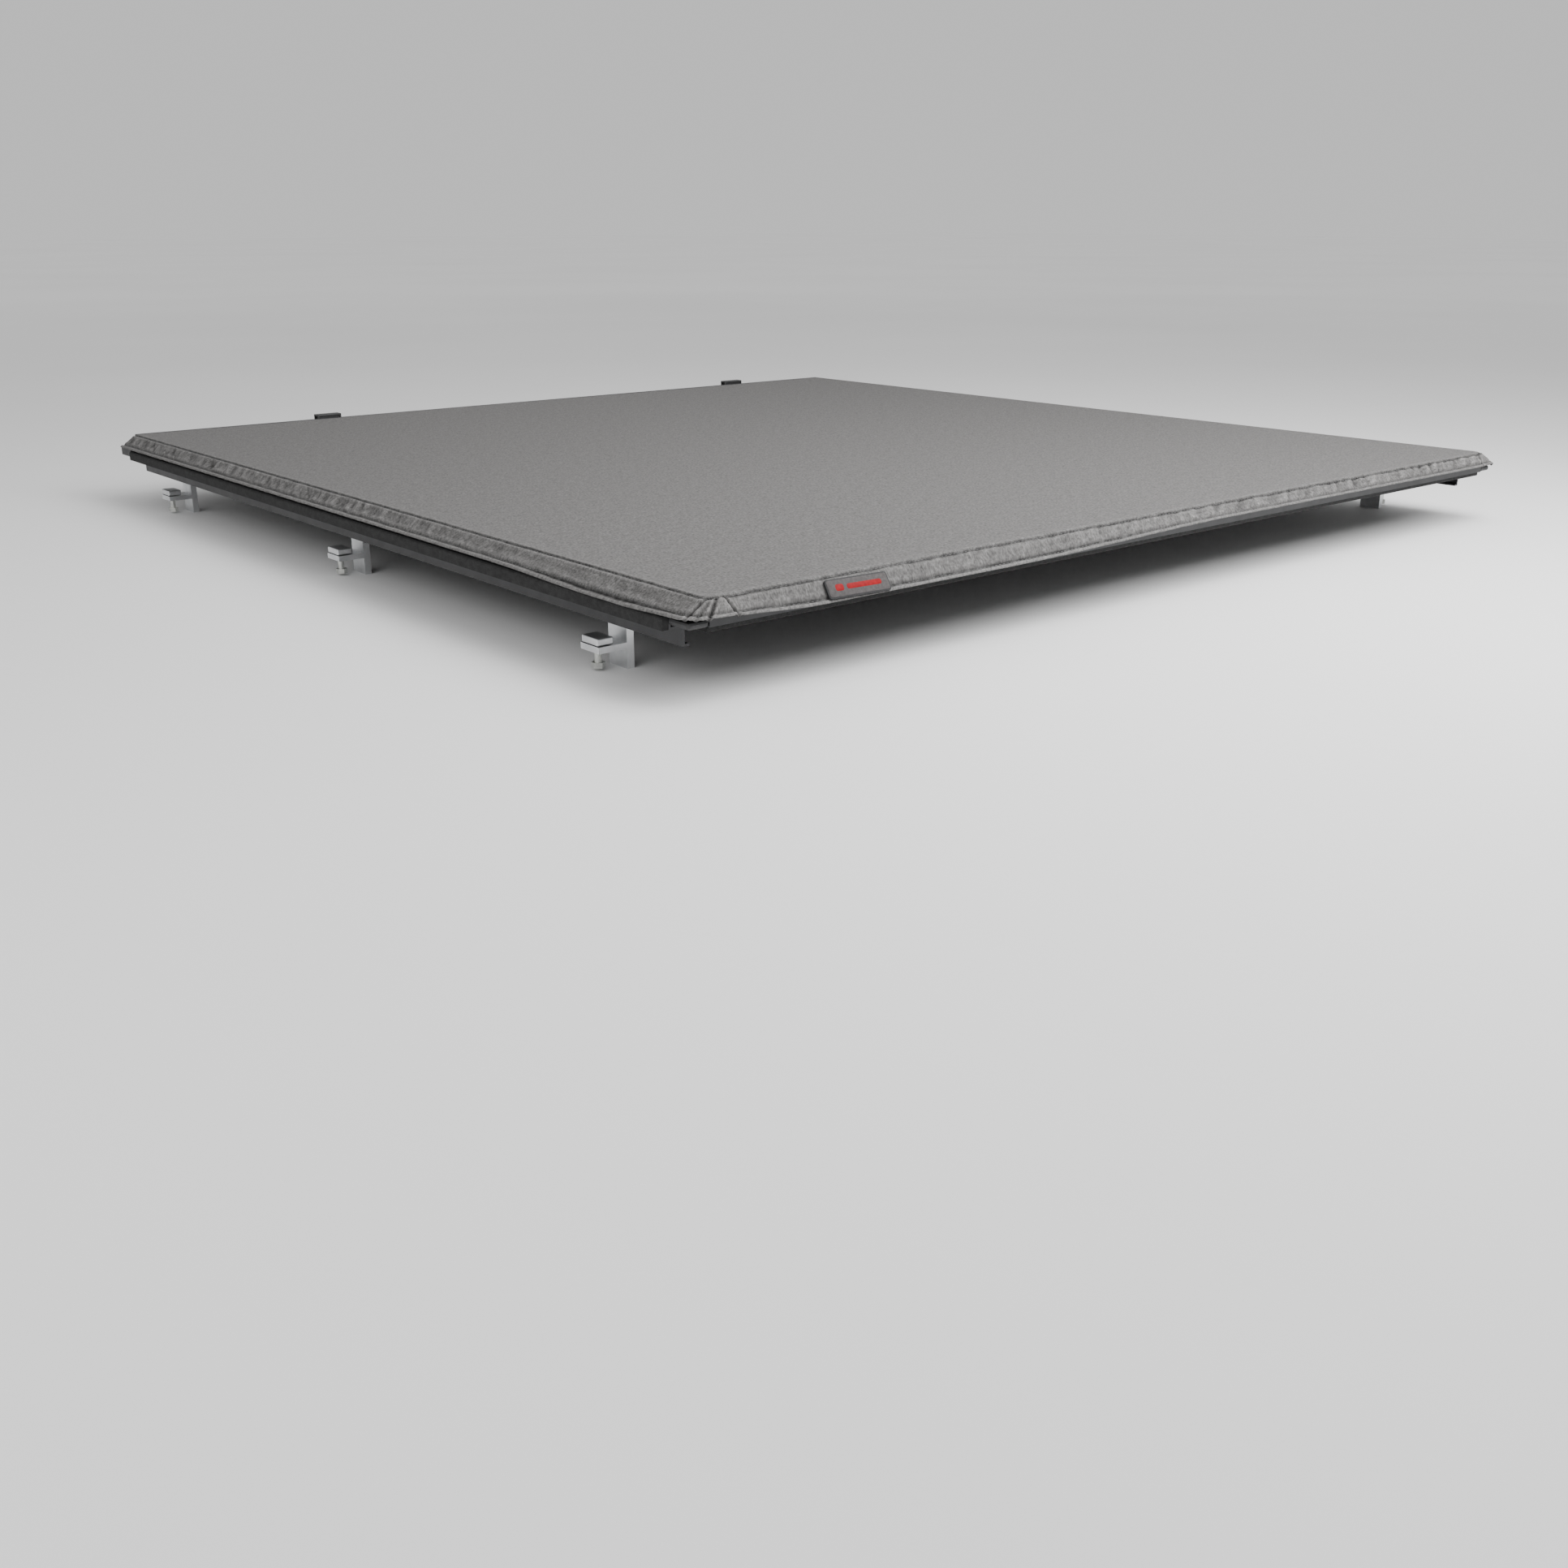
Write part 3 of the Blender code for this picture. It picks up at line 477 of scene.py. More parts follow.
def gathers(out, length, along, crumple):
    """Height, and tone of painted highlight and shade, of the gathered cloth between the two rows of
    stitches, and of the hem's edge.
    """
    share = out / length
    room = ease(*GATHERS_START, share) * (1 - ease(*GATHERS_END, share))
    edge = crumple * ease(*EDGE_WAVES, share)
    pucker, wrinkle = folded(PUCKER, out, along), folded(WRINKLE, out, along)
    crease = max(1 - abs(folded(CREASE, out, along)) * CREASE_SHARP, 0)
    streak = folded(STREAK, out, along) * max(1 - crumple, 0)
    rise = PUCKER.height * pucker + WRINKLE.height * wrinkle - CREASE.height * crease
    rise = room * (crumple * rise + STREAK.height * streak) + EDGE_WAVE * edge * pucker
    # Painted highlight where the folds rise, painted shade where they sink and crease.
    tone = PUCKER.tone * pucker + WRINKLE.tone * wrinkle - CREASE.tone * crease
    tone = room * (crumple * tone + STREAK.tone * streak) + EDGE_TONE * edge * pucker
    return rise, tone


REAR_GROWS, SIDE_GROWS = (-0.5, 0.2), (-0.6, 0.1)  # the x, or y, from which a hem is more gathered
LITTLE, MORE, UNEVEN, LEAST = 0.30, 0.80, 0.4, 0.1
UNEVEN_LONG = 0.09


def crumpled(place, grows):
    """How gathered a hem is at a place along it."""
    uneven = UNEVEN * rough(place / UNEVEN_LONG, 0, 5.5)
    return max(LITTLE + MORE * ease(*grows, place) + uneven, LEAST)


print("gathered at the rear's left and right:", [round(crumpled(x, REAR_GROWS), 2) for x in (-0.6, 0.6)])

# %% [markdown]
# ## The rear corners
#
# A hem can't turn a corner flat, so its spare cloth is tucked into a fan of folds that starts at one
# point of the seam. Modelling each fold as its own flap would leave gaps between them. Here the folds are
# lines that run out from the fan's point, each a groove painted darker, as painted shade, with a ridge on
# both sides painted lighter, as a painted highlight, so the cloth stays whole. The outline is a
# super-ellipse, which lies between an ellipse and a box.

# %% The fan of folds
SEAM_CORNER = 0.014       # the seam's own corner is rounded
CORNER_ROUND = 2.2        # 2 would be an ellipse
corner_x, corner_y = ridge_x - SEAM_CORNER, seam_y + SEAM_CORNER
corner_wide, corner_deep = SEAM_CORNER + SIDE_RUN, SEAM_CORNER + REAR_RUN
fan_x = ridge_x - 0.018   # the fan's point, on the rear seam
FOLDS = ((2, 0.8), (15, 0.55), (33, 1.0), (117, 1.1))  # degrees from straight out to the side, and how deep
FOLD_SPAN = 60            # a fold is only felt this many degrees to either side
FAN_REACH, FAN_FADE = 0.042, 0.008     # the folds fade out past this, and fade in over this
TUCK_STARTS, TUCK_ENDS = (33, 42), (108, 117)  # degrees, the doubled cloth between the last two folds
# The raised doubled cloth is painted lighter, as a painted highlight.
TUCK_RISE, TUCK_HIGHLIGHT = 0.0014, 0.06
# A fold's groove is painted darker, as painted shade, and its ridges lighter, as painted highlights.
FOLD_GROOVE, FOLD_RIDGE = Line(0.0015, 0.0024, 0.80), Line(0.0014, 0.0011, 0.34)
RIDGE_ASIDE = 0.0030      # from a fold's groove to the ridges beside it
FAR_RIDGE = 0.8           # the second ridge is a little lower


def fan(x, y, share):
    """The folds of a rear corner: how far they push the cloth, and their painted shade and highlight."""
    aside, back = abs(x) - fan_x, seam_y - y
    reach, turn = math.hypot(aside, back), math.degrees(math.atan2(back, aside))
    here = ease(0.0, FAN_FADE, reach) * (1 - ease(FAN_REACH, FAN_REACH + FAN_FADE, reach))
    here *= ease(0, 0.12, share)
    tuck = ease(*TUCK_STARTS, turn) * (1 - ease(*TUCK_ENDS, turn)) * here
    push, tone = TUCK_RISE * tuck, TUCK_HIGHLIGHT * tuck
    for fold, depth in FOLDS:
        if abs(turn - fold) < FOLD_SPAN and here:
            off = reach * math.sin(math.radians(turn - fold))
            groove = bell(off, FOLD_GROOVE.width)
            ridges = bell(off - RIDGE_ASIDE, FOLD_RIDGE.width)
            ridges += FAR_RIDGE * bell(off + RIDGE_ASIDE, FOLD_RIDGE.width)
            push += depth * here * (FOLD_RIDGE.height * ridges - FOLD_GROOVE.height * groove)
            tone += depth * here * (FOLD_RIDGE.tone * ridges - FOLD_GROOVE.tone * groove)
    return push, tone


print("the fans start", round(2 * fan_x, 3), "m apart, with", len(FOLDS), "folds each")

# %% [markdown]
# ## Where the hem hangs
#
# The lip isn't held everywhere, so it hangs a few millimetres lower in places: along the left half of the
# rear hem, and beside the bed just ahead of each rear corner. These are slow curves along the hem, and they
# are largest at its free edge.

# %% The sag of the lip
SAG_LEFT, SAG_RIGHT, SAG_REAR = 0.0044, 0.002, 0.0074
SIDE_FADES = (-0.64, -0.42)   # the y over which a side's sag dies away forwards
SIDE_HELD, SIDE_HOLD = (-0.78, -0.68), 0.8  # the y over which it is held up at the corner, and how much
REAR_FADES = (-0.35, 0.08)    # the x over which the rear's sag dies away to the right
REAR_HELD, REAR_HOLD = (-0.76, -0.62), 0.85


def sag(x, y, rear):
    """How much further the lip hangs. rear is 0 on a side hem, 1 on the rear one, and between at a corner."""
    beside = (SAG_LEFT if x < 0 else SAG_RIGHT) * (1 - ease(*SIDE_FADES, y))
    beside *= 1 - SIDE_HOLD * (1 - ease(*SIDE_HELD, y))
    behind = SAG_REAR * (1 - REAR_HOLD * (1 - ease(*REAR_HELD, x))) * (1 - ease(*REAR_FADES, x))
    return beside * (1 - rear) + behind * rear


print("sag in the middle of the rear's left half:", round(sag(-0.45, rear_y, 1), 4), "m")

# %% [markdown]
# ## From the flat cut to the cover
#
# A point of the cut is on the flat top, on a straight hem, or on a corner. Each case says how far out on
# the hem it is, as a share from 0 at the fold to 1 at the edge, and which way is outwards. The relief is
# then added along that direction and upwards.


# %% Find a point's share of the hem
def seam_ring(rear):
    """The seam's place on a corner, where 0 is the corner's middle and 1 the hem's edge."""
    return SEAM_CORNER / (corner_wide * (1 - rear) + corner_deep * rear)


def round_corner(a, b, side):
    """How far round a corner a point is, its share of the hem, its place, and the way outwards."""
    ring, rear = max(a, b), math.atan2(b, a) / (math.pi / 2)
    squeeze = ring / (a**CORNER_ROUND + b**CORNER_ROUND) ** (1 / CORNER_ROUND)
    share = (ring - seam_ring(rear)) / (1 - seam_ring(rear))
    flat = (corner_x + a * squeeze * corner_wide, corner_y - b * squeeze * corner_deep)
    return rear, share, flat, Vector((side * a, -b, 0)).normalized()


def straight(x, y, behind, side):
    """The same for a point that isn't on a corner."""
    if behind:
        return 1.0, (seam_y - y) / REAR_RUN, (abs(x), y), Vector((0, -1, 0))
    return 0.0, (abs(x) - ridge_x) / SIDE_RUN, (abs(x), y), Vector((side, 0, 0))


print("the seam on a corner, from side to rear:", [round(seam_ring(r / 2), 3) for r in range(3)])


# %% Lay a point on the cover
CORNER_CRUMPLE = 0.15
LIP_FOLLOWS = 14          # how much further out the lip's row lies, for each metre that a side hem hangs
# Painted shade: a lip hanging this low gives its groove the full painted shade.
FULL_DROOP = 0.004        # a lip that hangs this low is as dark as it gets
ROUND_OVER = 0.05         # the slope is a little flatter at the fold and at the edge
UPWARDS, OUTWARDS = 0.85, 0.5          # how the relief is shared between the two
# Limits of the tone's painted shade and highlight.
DARKEST, LIGHTEST = 0.10, 1.5
SLACK, WAVE_WIDE, WAVE_LONG = 0.0004, 0.33, 0.21  # slow waves of the flat top
TAUT = 0.05               # the flat top has no waves at its fold, and full ones this far inside it
# Painted highlight along the rounded fold at the edge of the flat top.
FOLD_EDGE_HIGHLIGHT, HIGHLIGHT_IN, HIGHLIGHT_WIDE = 0.12, 0.002, 0.003     # the cloth is lighter just inside the fold


def on_hem(x, y, flat_x, flat_y, share, rear, crumple, outward):
    """A point past the fold, and its tone of painted shade and highlight, from its place on the cut and its
    place seen from above.
    """
    length = SIDE_LENGTH * (1 - rear) + REAR_LENGTH * rear
    hang = sag(x, y, rear)
    seam_out = SIDE_SEAM * (1 - rear) + REAR_SEAM * rear
    lip_out = (LIP_AT + LIP_FOLLOWS * (1 - rear) * hang) * length
    along = (x + 3) * rear + y * (1 - rear)
    droop = min(hang / FULL_DROOP, 1)
    rise, tone = sewn_lines(share * length, length, seam_out, lip_out, along, droop)
    more_rise, more_tone = gathers(share * length, length, along, crumple)
    push, fan_tone = fan(flat_x, flat_y, share)
    rise += more_rise + push
    drop = HEM_DROP * (share - ROUND_OVER * math.sin(2 * math.pi * share))
    drop += hang * ease(0.72 - 0.55 * rear, 1, share)
    place = Vector((flat_x, flat_y, top_z - drop + UPWARDS * rise)) + outward * OUTWARDS * rise
    return place, min(max(tone + more_tone + fan_tone, DARKEST), LIGHTEST)


def on_cover(x, y):
    """Where a point of the flat cut lies, and its tone of painted shade and highlight. x and y run past the
    seams to the hem's edge.
    """
    side = math.copysign(1, x)
    a, b = (abs(x) - corner_x) / corner_wide, (corner_y - y) / corner_deep
    if a > 0 and b > 0:
        rear, share, flat, outward = round_corner(a, b, side)
        crumple = CORNER_CRUMPLE
    else:
        rear, share, flat, outward = straight(x, y, b > 0, side)
        crumple = crumpled(x, REAR_GROWS) if b > 0 else crumpled(y, SIDE_GROWS)
    flat_x, flat_y = side * flat[0], flat[1]
    if share > 0:
        return on_hem(x, y, flat_x, flat_y, share, rear, crumple, outward)
    inside = -share * (REAR_RUN if rear else SIDE_RUN)
    wave = SLACK * rough(x / WAVE_WIDE, y / WAVE_LONG, 2.2) * ease(0, TAUT, inside)
    return Vector((flat_x, flat_y, top_z + wave)), 1 + FOLD_EDGE_HIGHLIGHT * bell(inside - HIGHLIGHT_IN, HIGHLIGHT_WIDE)


half_way = on_cover(-ridge_x - SIDE_RUN / 2, 0)[0]
print("a point half way out on the left hem lies at", [round(v, 4) for v in half_way])

# %% [markdown]
# ## The sheet, in strips
#
# The real sheet is one piece. Here it is thirteen strips that meet edge to edge, because a strip can only
# bend at one hinge. Each starts and ends in the middle of a panel, where the cloth is always flat. A grid
# is the natural start: rows and columns are set close together on the hems, where there is detail, and
# far apart on the flat. Solidify then gives the cloth its thickness, with the knit backing underneath.


# %% Rows and columns of the cloth
HEM_STEP, SEAM_STEP, ROW_STEP = 0.0012, 0.0015, 0.0022
PLAIN_STEP, REAR_STEP = 0.06, 0.003    # between columns of the flat top: few, but many behind, by the fans
FAN_MARGIN = 0.02                      # columns are close from this far inside the fan's point


def steps(start, stop, size):
    """Numbers from start to stop, about size apart."""
    count = max(1, round(abs(stop - start) / size))
    return [start + (stop - start) * i / count for i in range(count + 1)]


def columns(flat_step):
    """X of each column of the cloth, close together on the hems."""
    close_x = fan_x - FAN_MARGIN
    half = steps(0, close_x, flat_step) + steps(close_x, ridge_x, SEAM_STEP)[1:]
    half += steps(ridge_x, edge_x, HEM_STEP)[1:]
    return [-x for x in reversed(half)] + half[1:]


def rows(number):
    """Y of each row of a strip, from the rear."""
    front = front_y if number == 1 else middles[number - 1]
    if number < len(hinges):
        return steps(middles[number], front, ROW_STEP)
    hem = steps(rear_y, seam_y, HEM_STEP)[:-1] + steps(seam_y, corner_y, SEAM_STEP)[:-1]
    return hem + steps(corner_y, front, ROW_STEP)


panel_edges = [front_y] + hinges + [seam_y]
middles = [(a + b) / 2 for a, b in zip(panel_edges, panel_edges[1:])]
print("columns on a plain strip:", len(columns(PLAIN_STEP)), " rows on the last:", len(rows(len(hinges))))


# %% Helpers for pieces
def to_object(name, work, *materials):
    """Write a bmesh to a new object in the scene."""
    data = bpy.data.meshes.new(name)
    work.to_mesh(data)
    work.free()
    for material in materials:
        data.materials.append(material)
    made = bpy.data.objects.new(name, data)
    bpy.context.scene.collection.objects.link(made)
    return made


def soften(work):
    """Shade every face smoothly."""
    for face in work.faces:
        face.smooth = True


def bend_with(piece):
    """Bake a piece's transform into its mesh."""
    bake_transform(piece)


print("piece helpers ready")

# %% Cut and shape the strips
CLOTH_THICK = 0.0013


def strip(name, across, along):
    """One strip of the sheet over those columns and rows, with its UV map in metres."""
    work = bmesh.new()
    bmesh.ops.create_grid(work, x_segments=len(across) - 1, y_segments=len(along) - 1, size=1)
    # tone carries each point's painted shade and highlight to the vinyl's colour.
    tone = work.verts.layers.float.new("tone")
    flat = {}
    for vert in work.verts:
        x = across[round((vert.co.x + 1) / 2 * (len(across) - 1))]
        y = along[round((vert.co.y + 1) / 2 * (len(along) - 1))]
        flat[vert.index] = (x, y)
        vert.co, vert[tone] = on_cover(x, y)
    cloth = work.loops.layers.uv.new("cloth")
    for face in work.faces:
        for corner in face.loops:
            corner[cloth].uv = flat[corner.vert.index]
    soften(work)
    for edge in work.edges:
        edge.smooth = not edge.is_boundary
    work.normal_update()
    if sum(face.normal.z for face in work.faces) < 0:
        bmesh.ops.reverse_faces(work, faces=work.faces)
    made = to_object(name, work, canvas_vinyl, knit_back)
    wall = made.modifiers.new("cloth_thickness", "SOLIDIFY")
    wall.thickness = CLOTH_THICK
    wall.offset = -1
    wall.material_offset = 1
    return made


faces = 0
for number in range(1, len(hinges) + 1):
    first, last = number == 1, number == len(hinges)
    along = rows(number)
    piece = strip(f"cover_sheet_{number:02d}", columns(REAR_STEP if last else PLAIN_STEP), along)
    bend_with(piece)
    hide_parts(f"cover_panel_{number:02d}", *(["cover_panel_00"] if first else []))
    faces += len(piece.data.polygons)
print("strips:", len(hinges), "with", faces, "faces")

# %% [markdown]
# ## Stitches
#
# Two rows of lockstitch run along each hem: one at the seam, one above the rolled lip. They could be a bump
# in the material, but then they would vanish at the cover's outline. There are about fifteen hundred, so
# each is only a coarse icosphere drawn out to a grain of rice. Every strip of cloth gets its own object of
# stitches.

# %% Lay out the rows of stitches
PITCH = 0.0062
FIRST_STITCH = 0.004      # from the sheet's front edge
CORNER_STITCHES = 8


def row_of_stitches(out_side, out_rear):
    """Flat points of a row, from the front left round to the front right, at those shares of the hem."""
    start = front_y - FIRST_STITCH
    left = [(-(ridge_x + out_side * SIDE_RUN), y) for y in steps(start, corner_y, PITCH)[:-1]]
    turn = []
    for i in range(CORNER_STITCHES):
        rear = i / CORNER_STITCHES
        inner = seam_ring(rear)
        ring = inner + (out_side * (1 - rear) + out_rear * rear) * (1 - inner)
        a, b = math.cos(rear * math.pi / 2), math.sin(rear * math.pi / 2)
        wide, deep = ring * a / max(a, b) * corner_wide, ring * b / max(a, b) * corner_deep
        turn.append((-corner_x - wide, corner_y - deep))
    back = [(x, seam_y - out_rear * REAR_RUN) for x in steps(-corner_x, corner_x, PITCH)]
    return left + turn + back + [(-x, y) for x, y in reversed(left + turn)]


rows_of_stitches = [
    row_of_stitches(SIDE_SEAM / SIDE_LENGTH, REAR_SEAM / REAR_LENGTH),
    row_of_stitches(LIP_AT, LIP_AT),
]
print("stitches in each row:", [len(row) for row in rows_of_stitches])

# %% Sew them
STITCH = (0.0023, 0.00045, 0.00036)   # half its length, width and thickness
STITCH_PROUD = 0.00025
LEAN = 0.6                            # a stitch faces up, and this much outwards, as the hem does


def rice(work, place, direction, up):
    """One stitch, lying along direction on the cloth."""
    made = bmesh.ops.create_icosphere(work, subdivisions=1, radius=1)
    across = up.cross(direction).normalized()
    sides = [side * size for side, size in zip((direction, across, up), STITCH)]
    turn = Matrix(sides).transposed().to_4x4()
    bmesh.ops.transform(work, matrix=Matrix.Translation(place) @ turn, verts=made["verts"])


def sew(name, low_y, high_y):
    """The stitches whose flat y lies between two values, as one object."""
    work = bmesh.new()
    count = 0
    for row in rows_of_stitches:
        for before, point, after in zip(row, row[1:], row[2:]):
            if not low_y <= point[1] < high_y:
                continue
            direction = (on_cover(*after)[0] - on_cover(*before)[0]).normalized()
            outward = Vector((direction.y, -direction.x, 0))
            up = (outward * LEAN + Vector((0, 0, 1))).normalized()
            up = (up - direction * up.dot(direction)).normalized()
            rice(work, on_cover(*point)[0] + up * STITCH_PROUD, direction, up)
            count += 1
    soften(work)
    return to_object(name, work, thread), count


total = 0
for number in range(1, len(hinges) + 1):
    low_y = middles[number] if number < len(hinges) else rear_y
    high_y = front_y if number == 1 else middles[number - 1]
    sewn, count = sew(f"stitching_{number:02d}", low_y, high_y)
    bend_with(sewn)
    total += count
print("stitches:", total)

# %% [markdown]
# ## The label's finishes
#
# The label is a woven patch with a bound black edge and a red print. The weave is two noises drawn out
# across each other, as on the sheet but finer. Ink is smoother than cloth, so the print has only a trace of
# grain. All three are low in gloss, because a glossy red turns pink under a white sky.

# %% Make the label's finishes
label_cloth = finish(
    "label_grey_weave",
    tones=[(0.4, (0.062, 0.057, 0.057)), (0.65, (0.084, 0.078, 0.078))],
    patch=0.003,
    dull=(0.6, 0.8),
    grains=[(0.0006, 0.00012, (0.3, 1, 1)), (0.0006, 0.00012, (1, 0.3, 1))],
    gloss=0.15,
)
label_edge = finish(
    "label_black_binding",
    tones=[(0.4, (0.008, 0.008, 0.009)), (0.7, (0.020, 0.020, 0.021))],
    patch=0.002,
    dull=(0.6, 0.85),
    grains=[(0.0006, 0.0002, EVEN)],
)
label_print = finish(
    "label_red_print",
    tones=[(0.4, (0.21, 0.003, 0.006)), (0.65, (0.27, 0.005, 0.008))],
    patch=0.004,
    dull=(0.45, 0.6),
    grains=[(0.0005, 0.00006, EVEN)],
    gloss=0.1,
)
print("label finishes:", label_cloth.name, label_edge.name, label_print.name)

# %% [markdown]
# ## The label
#
# The patch is sewn over the rear hem, near its left end, and tilted to the hem's slope. A pattern on the
# cloth would look painted on, so it is built in layers, each a thin block with rounded corners: the black
# binding, the grey face that leaves a rim of it showing, and the print, a plain red bar and a block,
# raised by the thickness of the ink. The binding is thick enough to cast a shadow.


# %% Blocks with rounded corners
CRISP = math.radians(35)
TINY = 1e-6


def settle(name, work, material, body):
    """Write a bmesh to an object, crisp where faces meet sharply, riding on a body."""
    made = to_object(name, work, material)
    made.data.set_sharp_from_angle(angle=CRISP)
    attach(made, body)
    return made


def slab(work, width, height, low, high, radius):
    """A flat block from low to high, with rounded corners and a softened rim."""
    bmesh.ops.create_cube(work, size=1)
    bmesh.ops.scale(work, vec=(width, height, high - low), verts=work.verts)
    bmesh.ops.translate(work, vec=(0, 0, (low + high) / 2), verts=work.verts)
    upright = [e for e in work.edges if abs(e.verts[0].co.z - e.verts[1].co.z) > TINY]
    bmesh.ops.bevel(work, geom=upright, offset=radius, segments=5, affect="EDGES", profile=0.5, material=-1)
    rim = [e for e in work.edges if min(v.co.z for v in e.verts) > high - TINY]
    soft = (high - low) * 0.25
    bmesh.ops.bevel(work, geom=rim, offset=soft, segments=2, affect="EDGES", profile=0.5, material=-1)
    soften(work)


def label_layer(name, width, height, low, high, radius, material, where):
    """One layer of the label, between two heights above the hem."""
    work = bmesh.new()
    slab(work, width, height, low, high, radius)
    bmesh.ops.transform(work, matrix=where, verts=work.verts)
    return settle(name, work, material, f"panel_{len(hinges):02d}")


print("label helpers ready")

# %% Make the label
LABEL_WIDTH, LABEL_HEIGHT, LABEL_RIM = 0.086, 0.0215, 0.0032
LABEL_FROM = 0.30         # its upper edge lies about this far down the hem, as a share
LABEL_TURN = math.radians(-1.5)        # sewn on not quite straight
LABEL_LIFT = Vector((0, -0.0008, 0.0004))
BINDING = (-0.0006, 0.0014, 0.0035)    # each layer's underside, top, and corner radius
FACE = (0.0010, 0.0018, 0.0025)
INK = (0.0017, 0.00195, 0.0026)
PRINTS = (("long", 0.008, 0.048, 0.0058), ("short", -0.026, 0.011, 0.0074))  # name, x, width, height
PRINT_UP = 0.0005

low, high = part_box("rear_label")
label_x = (low.x + high.x) / 2
label_top = on_cover(label_x, seam_y - LABEL_FROM * REAR_RUN)[0]
label_foot = on_cover(label_x, rear_y)[0]
label_slope = math.atan2(label_top.z - label_foot.z, label_top.y - label_foot.y)
to_hem = Matrix.Translation((label_top + label_foot) / 2 + LABEL_LIFT)
to_hem @= Matrix.Rotation(label_slope, 4, "X") @ Matrix.Rotation(LABEL_TURN, 4, "Z")

binding = label_layer("label_binding", LABEL_WIDTH, LABEL_HEIGHT, *BINDING, label_edge, to_hem)
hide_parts("rear_label")
face_width, face_height = LABEL_WIDTH - LABEL_RIM, LABEL_HEIGHT - LABEL_RIM
label_layer("label_face", face_width, face_height, *FACE, label_cloth, to_hem)
for word, x, width, height in PRINTS:
    spot = to_hem @ Matrix.Translation((x, PRINT_UP, 0))
    label_layer(f"label_print_{word}", width, height, *INK, label_print, spot)
print("label", LABEL_WIDTH, "by", LABEL_HEIGHT, "m at x", round(label_x, 3))

# %% [markdown]
# ## Hold-down straps
#
# Two short webbing loops are fixed to the header's front face. Each carries half of a side-release buckle,
# which holds the cover's roll when it is up. A curve with a flat bevel could make them, but it twists at
# its bends. Webbing is a ribbon, so its side view is drawn once, as a row of points with rounded corners,
# and pulled across. Solidify makes it thick.


# %% Helpers for ribbons
def bend_path(points, radius, pieces=5):
    """The same path with each corner rounded off."""
    out = [points[0]]
    for before, corner, after in zip(points, points[1:], points[2:]):
        a, c, b = Vector(before), Vector(corner), Vector(after)
        cut = min(radius, (a - c).length / 2, (b - c).length / 2)
        start, stop = c + (a - c).normalized() * cut, c + (b - c).normalized() * cut
        for i in range(pieces + 1):
            t = i / pieces
            out.append(tuple((1 - t) ** 2 * start + 2 * t * (1 - t) * c + t * t * stop))
    return out + [points[-1]]


def ribbon(work, path, low_x, high_x, thick, pulls=8):
    """A strap: a line of (y, z) points, pulled along X and given a thickness."""
    row = [work.verts.new((low_x, y, z)) for y, z in path]
    edges = [work.edges.new(pair) for pair in zip(row, row[1:])]
    for _ in range(pulls):
        pulled = bmesh.ops.extrude_edge_only(work, edges=edges)["geom"]
        verts = [item for item in pulled if isinstance(item, bmesh.types.BMVert)]
        bmesh.ops.translate(work, vec=((high_x - low_x) / pulls, 0, 0), verts=verts)
        edges = [item for item in pulled if isinstance(item, bmesh.types.BMEdge)]
        edges = [e for e in edges if all(v in verts for v in e.verts)]
    bmesh.ops.recalc_face_normals(work, faces=work.faces)
    bmesh.ops.solidify(work, geom=work.faces[:], thickness=thick)
    bmesh.ops.recalc_face_normals(work, faces=work.faces)
    soften(work)


print("a right angle rounded off has", len(bend_path([(0, 1), (0, 0), (1, 0)], 0.5)), "points")

# %% Make the webbing loops
WEBBING_THICK = 0.0013
BEHIND_LOOP, SHORT_END = 0.0012, 0.002 # the header to the loop, and the inner end above the outer one
LOOP_GAP, LOOP_BEND = 0.0030, 0.0030   # between the loop's two layers, and the radius of its bends
LOOP_OVER = ((0, 0.0865), (0.0125, 0.0880), (0.0118, 0.0845), (LOOP_GAP, 0.0830))  # out, and up

header_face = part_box("header_bar")[1].y
for word in ("left", "right"):
    low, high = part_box(f"strap_{word}")
    foot = header_face + BEHIND_LOOP
    over = [(foot + out, z) for out, z in LOOP_OVER]
    path = bend_path([(foot, low.z), *over, (foot + LOOP_GAP, low.z + SHORT_END)], LOOP_BEND)
    work = bmesh.new()
    ribbon(work, path, low.x, high.x, WEBBING_THICK)
    loop = settle(f"strap_loop_{word}", work, webbing, "root")
    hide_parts(f"strap_{word}")

# %% [markdown]
# ## Buckles
#
# Only the socket half of each buckle is here: a flat nylon box, open at both ends for the prongs, with a
# sunk panel on its faces. Boolean cuts would need cutters and leave ragged edges to round. It starts as a
# cube instead, the windows are inset and pushed in, and then every outer edge is bevelled.


# %% Make the buckles
END_WINDOW = (0.004, 0.0008, 0.005)    # rim, slope and depth
BROAD_PANEL = (0.0045, 0.0012, 0.0012)
ROUNDING = 0.0012


def window(work, faces, rim, slope, depth):
    """Sink a panel in each face, inside a rim, with sloping sides."""
    bmesh.ops.inset_individual(work, faces=faces, thickness=rim, depth=0)
    bmesh.ops.inset_individual(work, faces=faces, thickness=slope, depth=-depth)


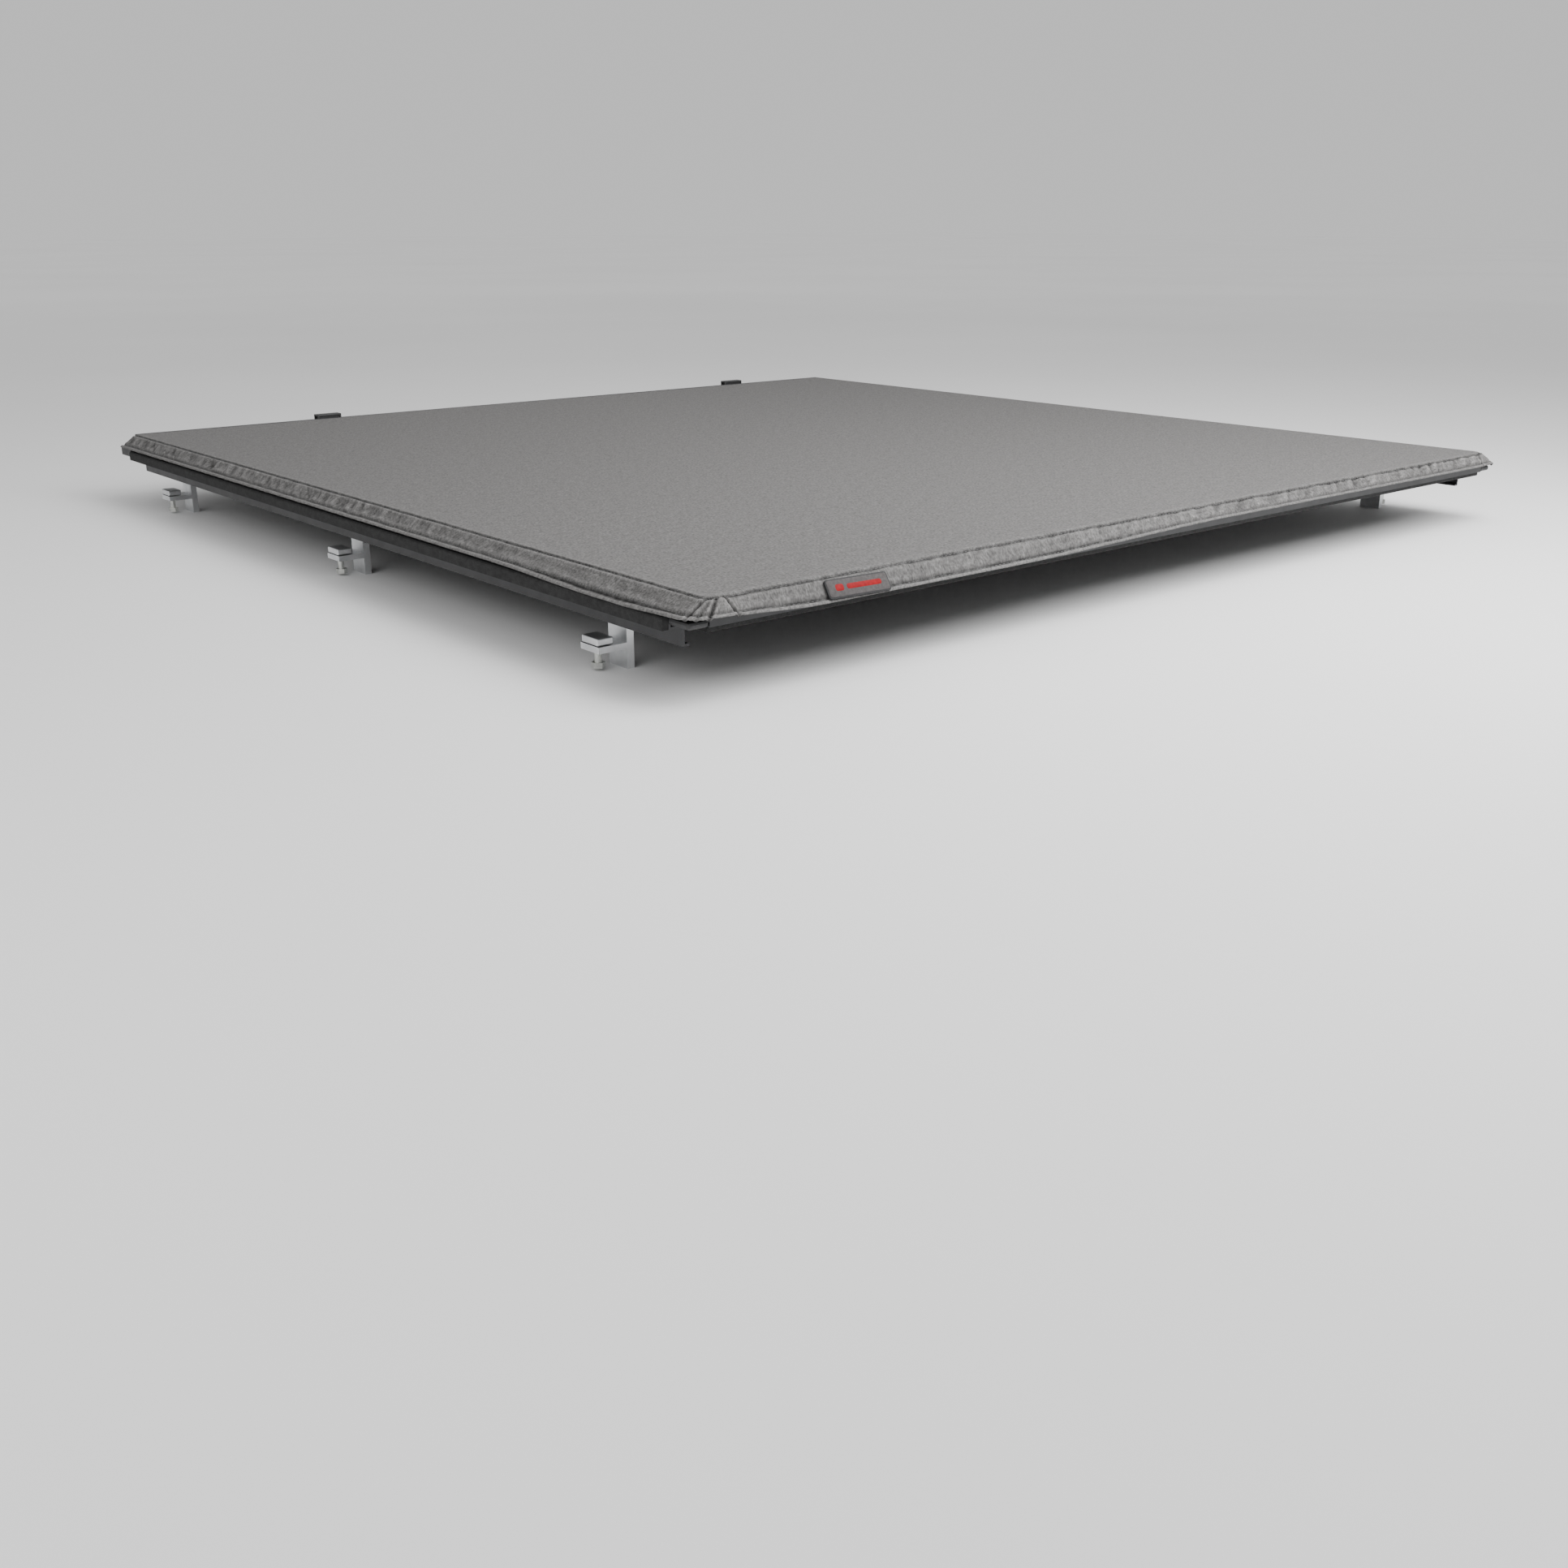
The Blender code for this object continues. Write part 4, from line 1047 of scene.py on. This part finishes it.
for word in ("left", "right"):
    low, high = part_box(f"buckle_{word}")
    size = high - low
    work = bmesh.new()
    bmesh.ops.create_cube(work, size=1)
    bmesh.ops.scale(work, vec=size, verts=work.verts)
    bmesh.ops.translate(work, vec=(low + high) / 2, verts=work.verts)
    window(work, [f for f in work.faces if abs(f.normal.x) > 0.9], *END_WINDOW)
    broad = [f for f in work.faces if abs(f.normal.y) > 0.9 and f.calc_area() > size.x * size.z * 0.5]
    window(work, broad, *BROAD_PANEL)
    bmesh.ops.recalc_face_normals(work, faces=work.faces)
    outer = [e for e in work.edges if len(e.link_faces) == 2 and e.calc_face_angle(0) > 1.2]
    bmesh.ops.bevel(work, geom=outer, offset=ROUNDING, segments=3, affect="EDGES", profile=0.5, material=-1)
    soften(work)
    buckle = settle(f"buckle_socket_{word}", work, nylon, f"buckle_{word}")
    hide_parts(f"buckle_{word}")
print("buckles made, each", [round(v, 4) for v in size], "m")

# %% [markdown]
# ## The floor
#
# The floor is one big pale sheet, which isn't part of the cover. A floor is always a
# little darker than the sky that lights it, so it would end in a hard horizon. A curved backdrop hides that
# from one side only. Here the floor's own tone brightens with distance instead, which works all round.

# %% Make the floor
FLOOR_HALF = 30
FADE_FROM, FADE_TO, FADE_LIFT = 2.0, 8.0, 1.21


def fade(tree, source, colour):
    """The floor's tone, brightening to the sky's further off, so that no horizon shows."""
    far = add(tree, "VectorMath", {0: source}, operation="LENGTH").outputs["Value"]
    return scaled(tree, colour, spread(tree, far, 1.0, FADE_LIFT, FADE_FROM, FADE_TO))


pale_floor = finish(
    "pale_floor",
    tones=[(0.3, (0.80, 0.80, 0.80)), (0.7, (0.84, 0.84, 0.84))],
    patch=1.5,
    dull=(0.6, 0.7),
    grains=[],
    recolour=fade,
)
work = bmesh.new()
bmesh.ops.create_grid(work, x_segments=1, y_segments=1, size=FLOOR_HALF)
floor = to_object("floor", work, pale_floor)
print("floor", 2 * FLOOR_HALF, "m square")

# %% [markdown]
# ## Lamps and sky
#
# A soft studio has broad lamps and a white room. One broad lamp stands over the right rear, so that the
# cover brightens towards that corner, one hangs above, and a weaker one fills from the left. Small lamps
# would give hard shadows, while broad ones leave soft-edged ones under the hem. The sky is plain white.

# %% Hang the lamps
Lamp = namedtuple("Lamp", "name place target width watts")
LAMPS = (
    Lamp("key_lamp", (0.35, -1.45, 1.35), (0.05, -0.45, 0.1), 1.3, 52),
    Lamp("top_lamp", (0.3, -0.9, 2.6), (0.1, -0.4, 0.1), 2.0, 36),
    Lamp("fill_lamp", (-2.4, -1.3, 1.3), (-0.6, -0.4, 0.1), 1.4, 12),
)
SKY_STRENGTH = 0.7

for lamp in LAMPS:
    data = bpy.data.lights.new(lamp.name, "AREA")
    data.size = lamp.width
    data.energy = lamp.watts
    made = bpy.data.objects.new(lamp.name, data)
    made.location = lamp.place
    aim = Vector(lamp.target) - Vector(lamp.place)
    made.rotation_euler = aim.to_track_quat("-Z", "Y").to_euler()
    bpy.context.scene.collection.objects.link(made)
sky = bpy.data.worlds.new("sky")
sky.use_nodes = True
sky.node_tree.nodes["Background"].inputs["Color"].default_value = (1, 1, 1, 1)
sky.node_tree.nodes["Background"].inputs["Strength"].default_value = SKY_STRENGTH
bpy.context.scene.world = sky
print("lamps:", [lamp.name for lamp in LAMPS])
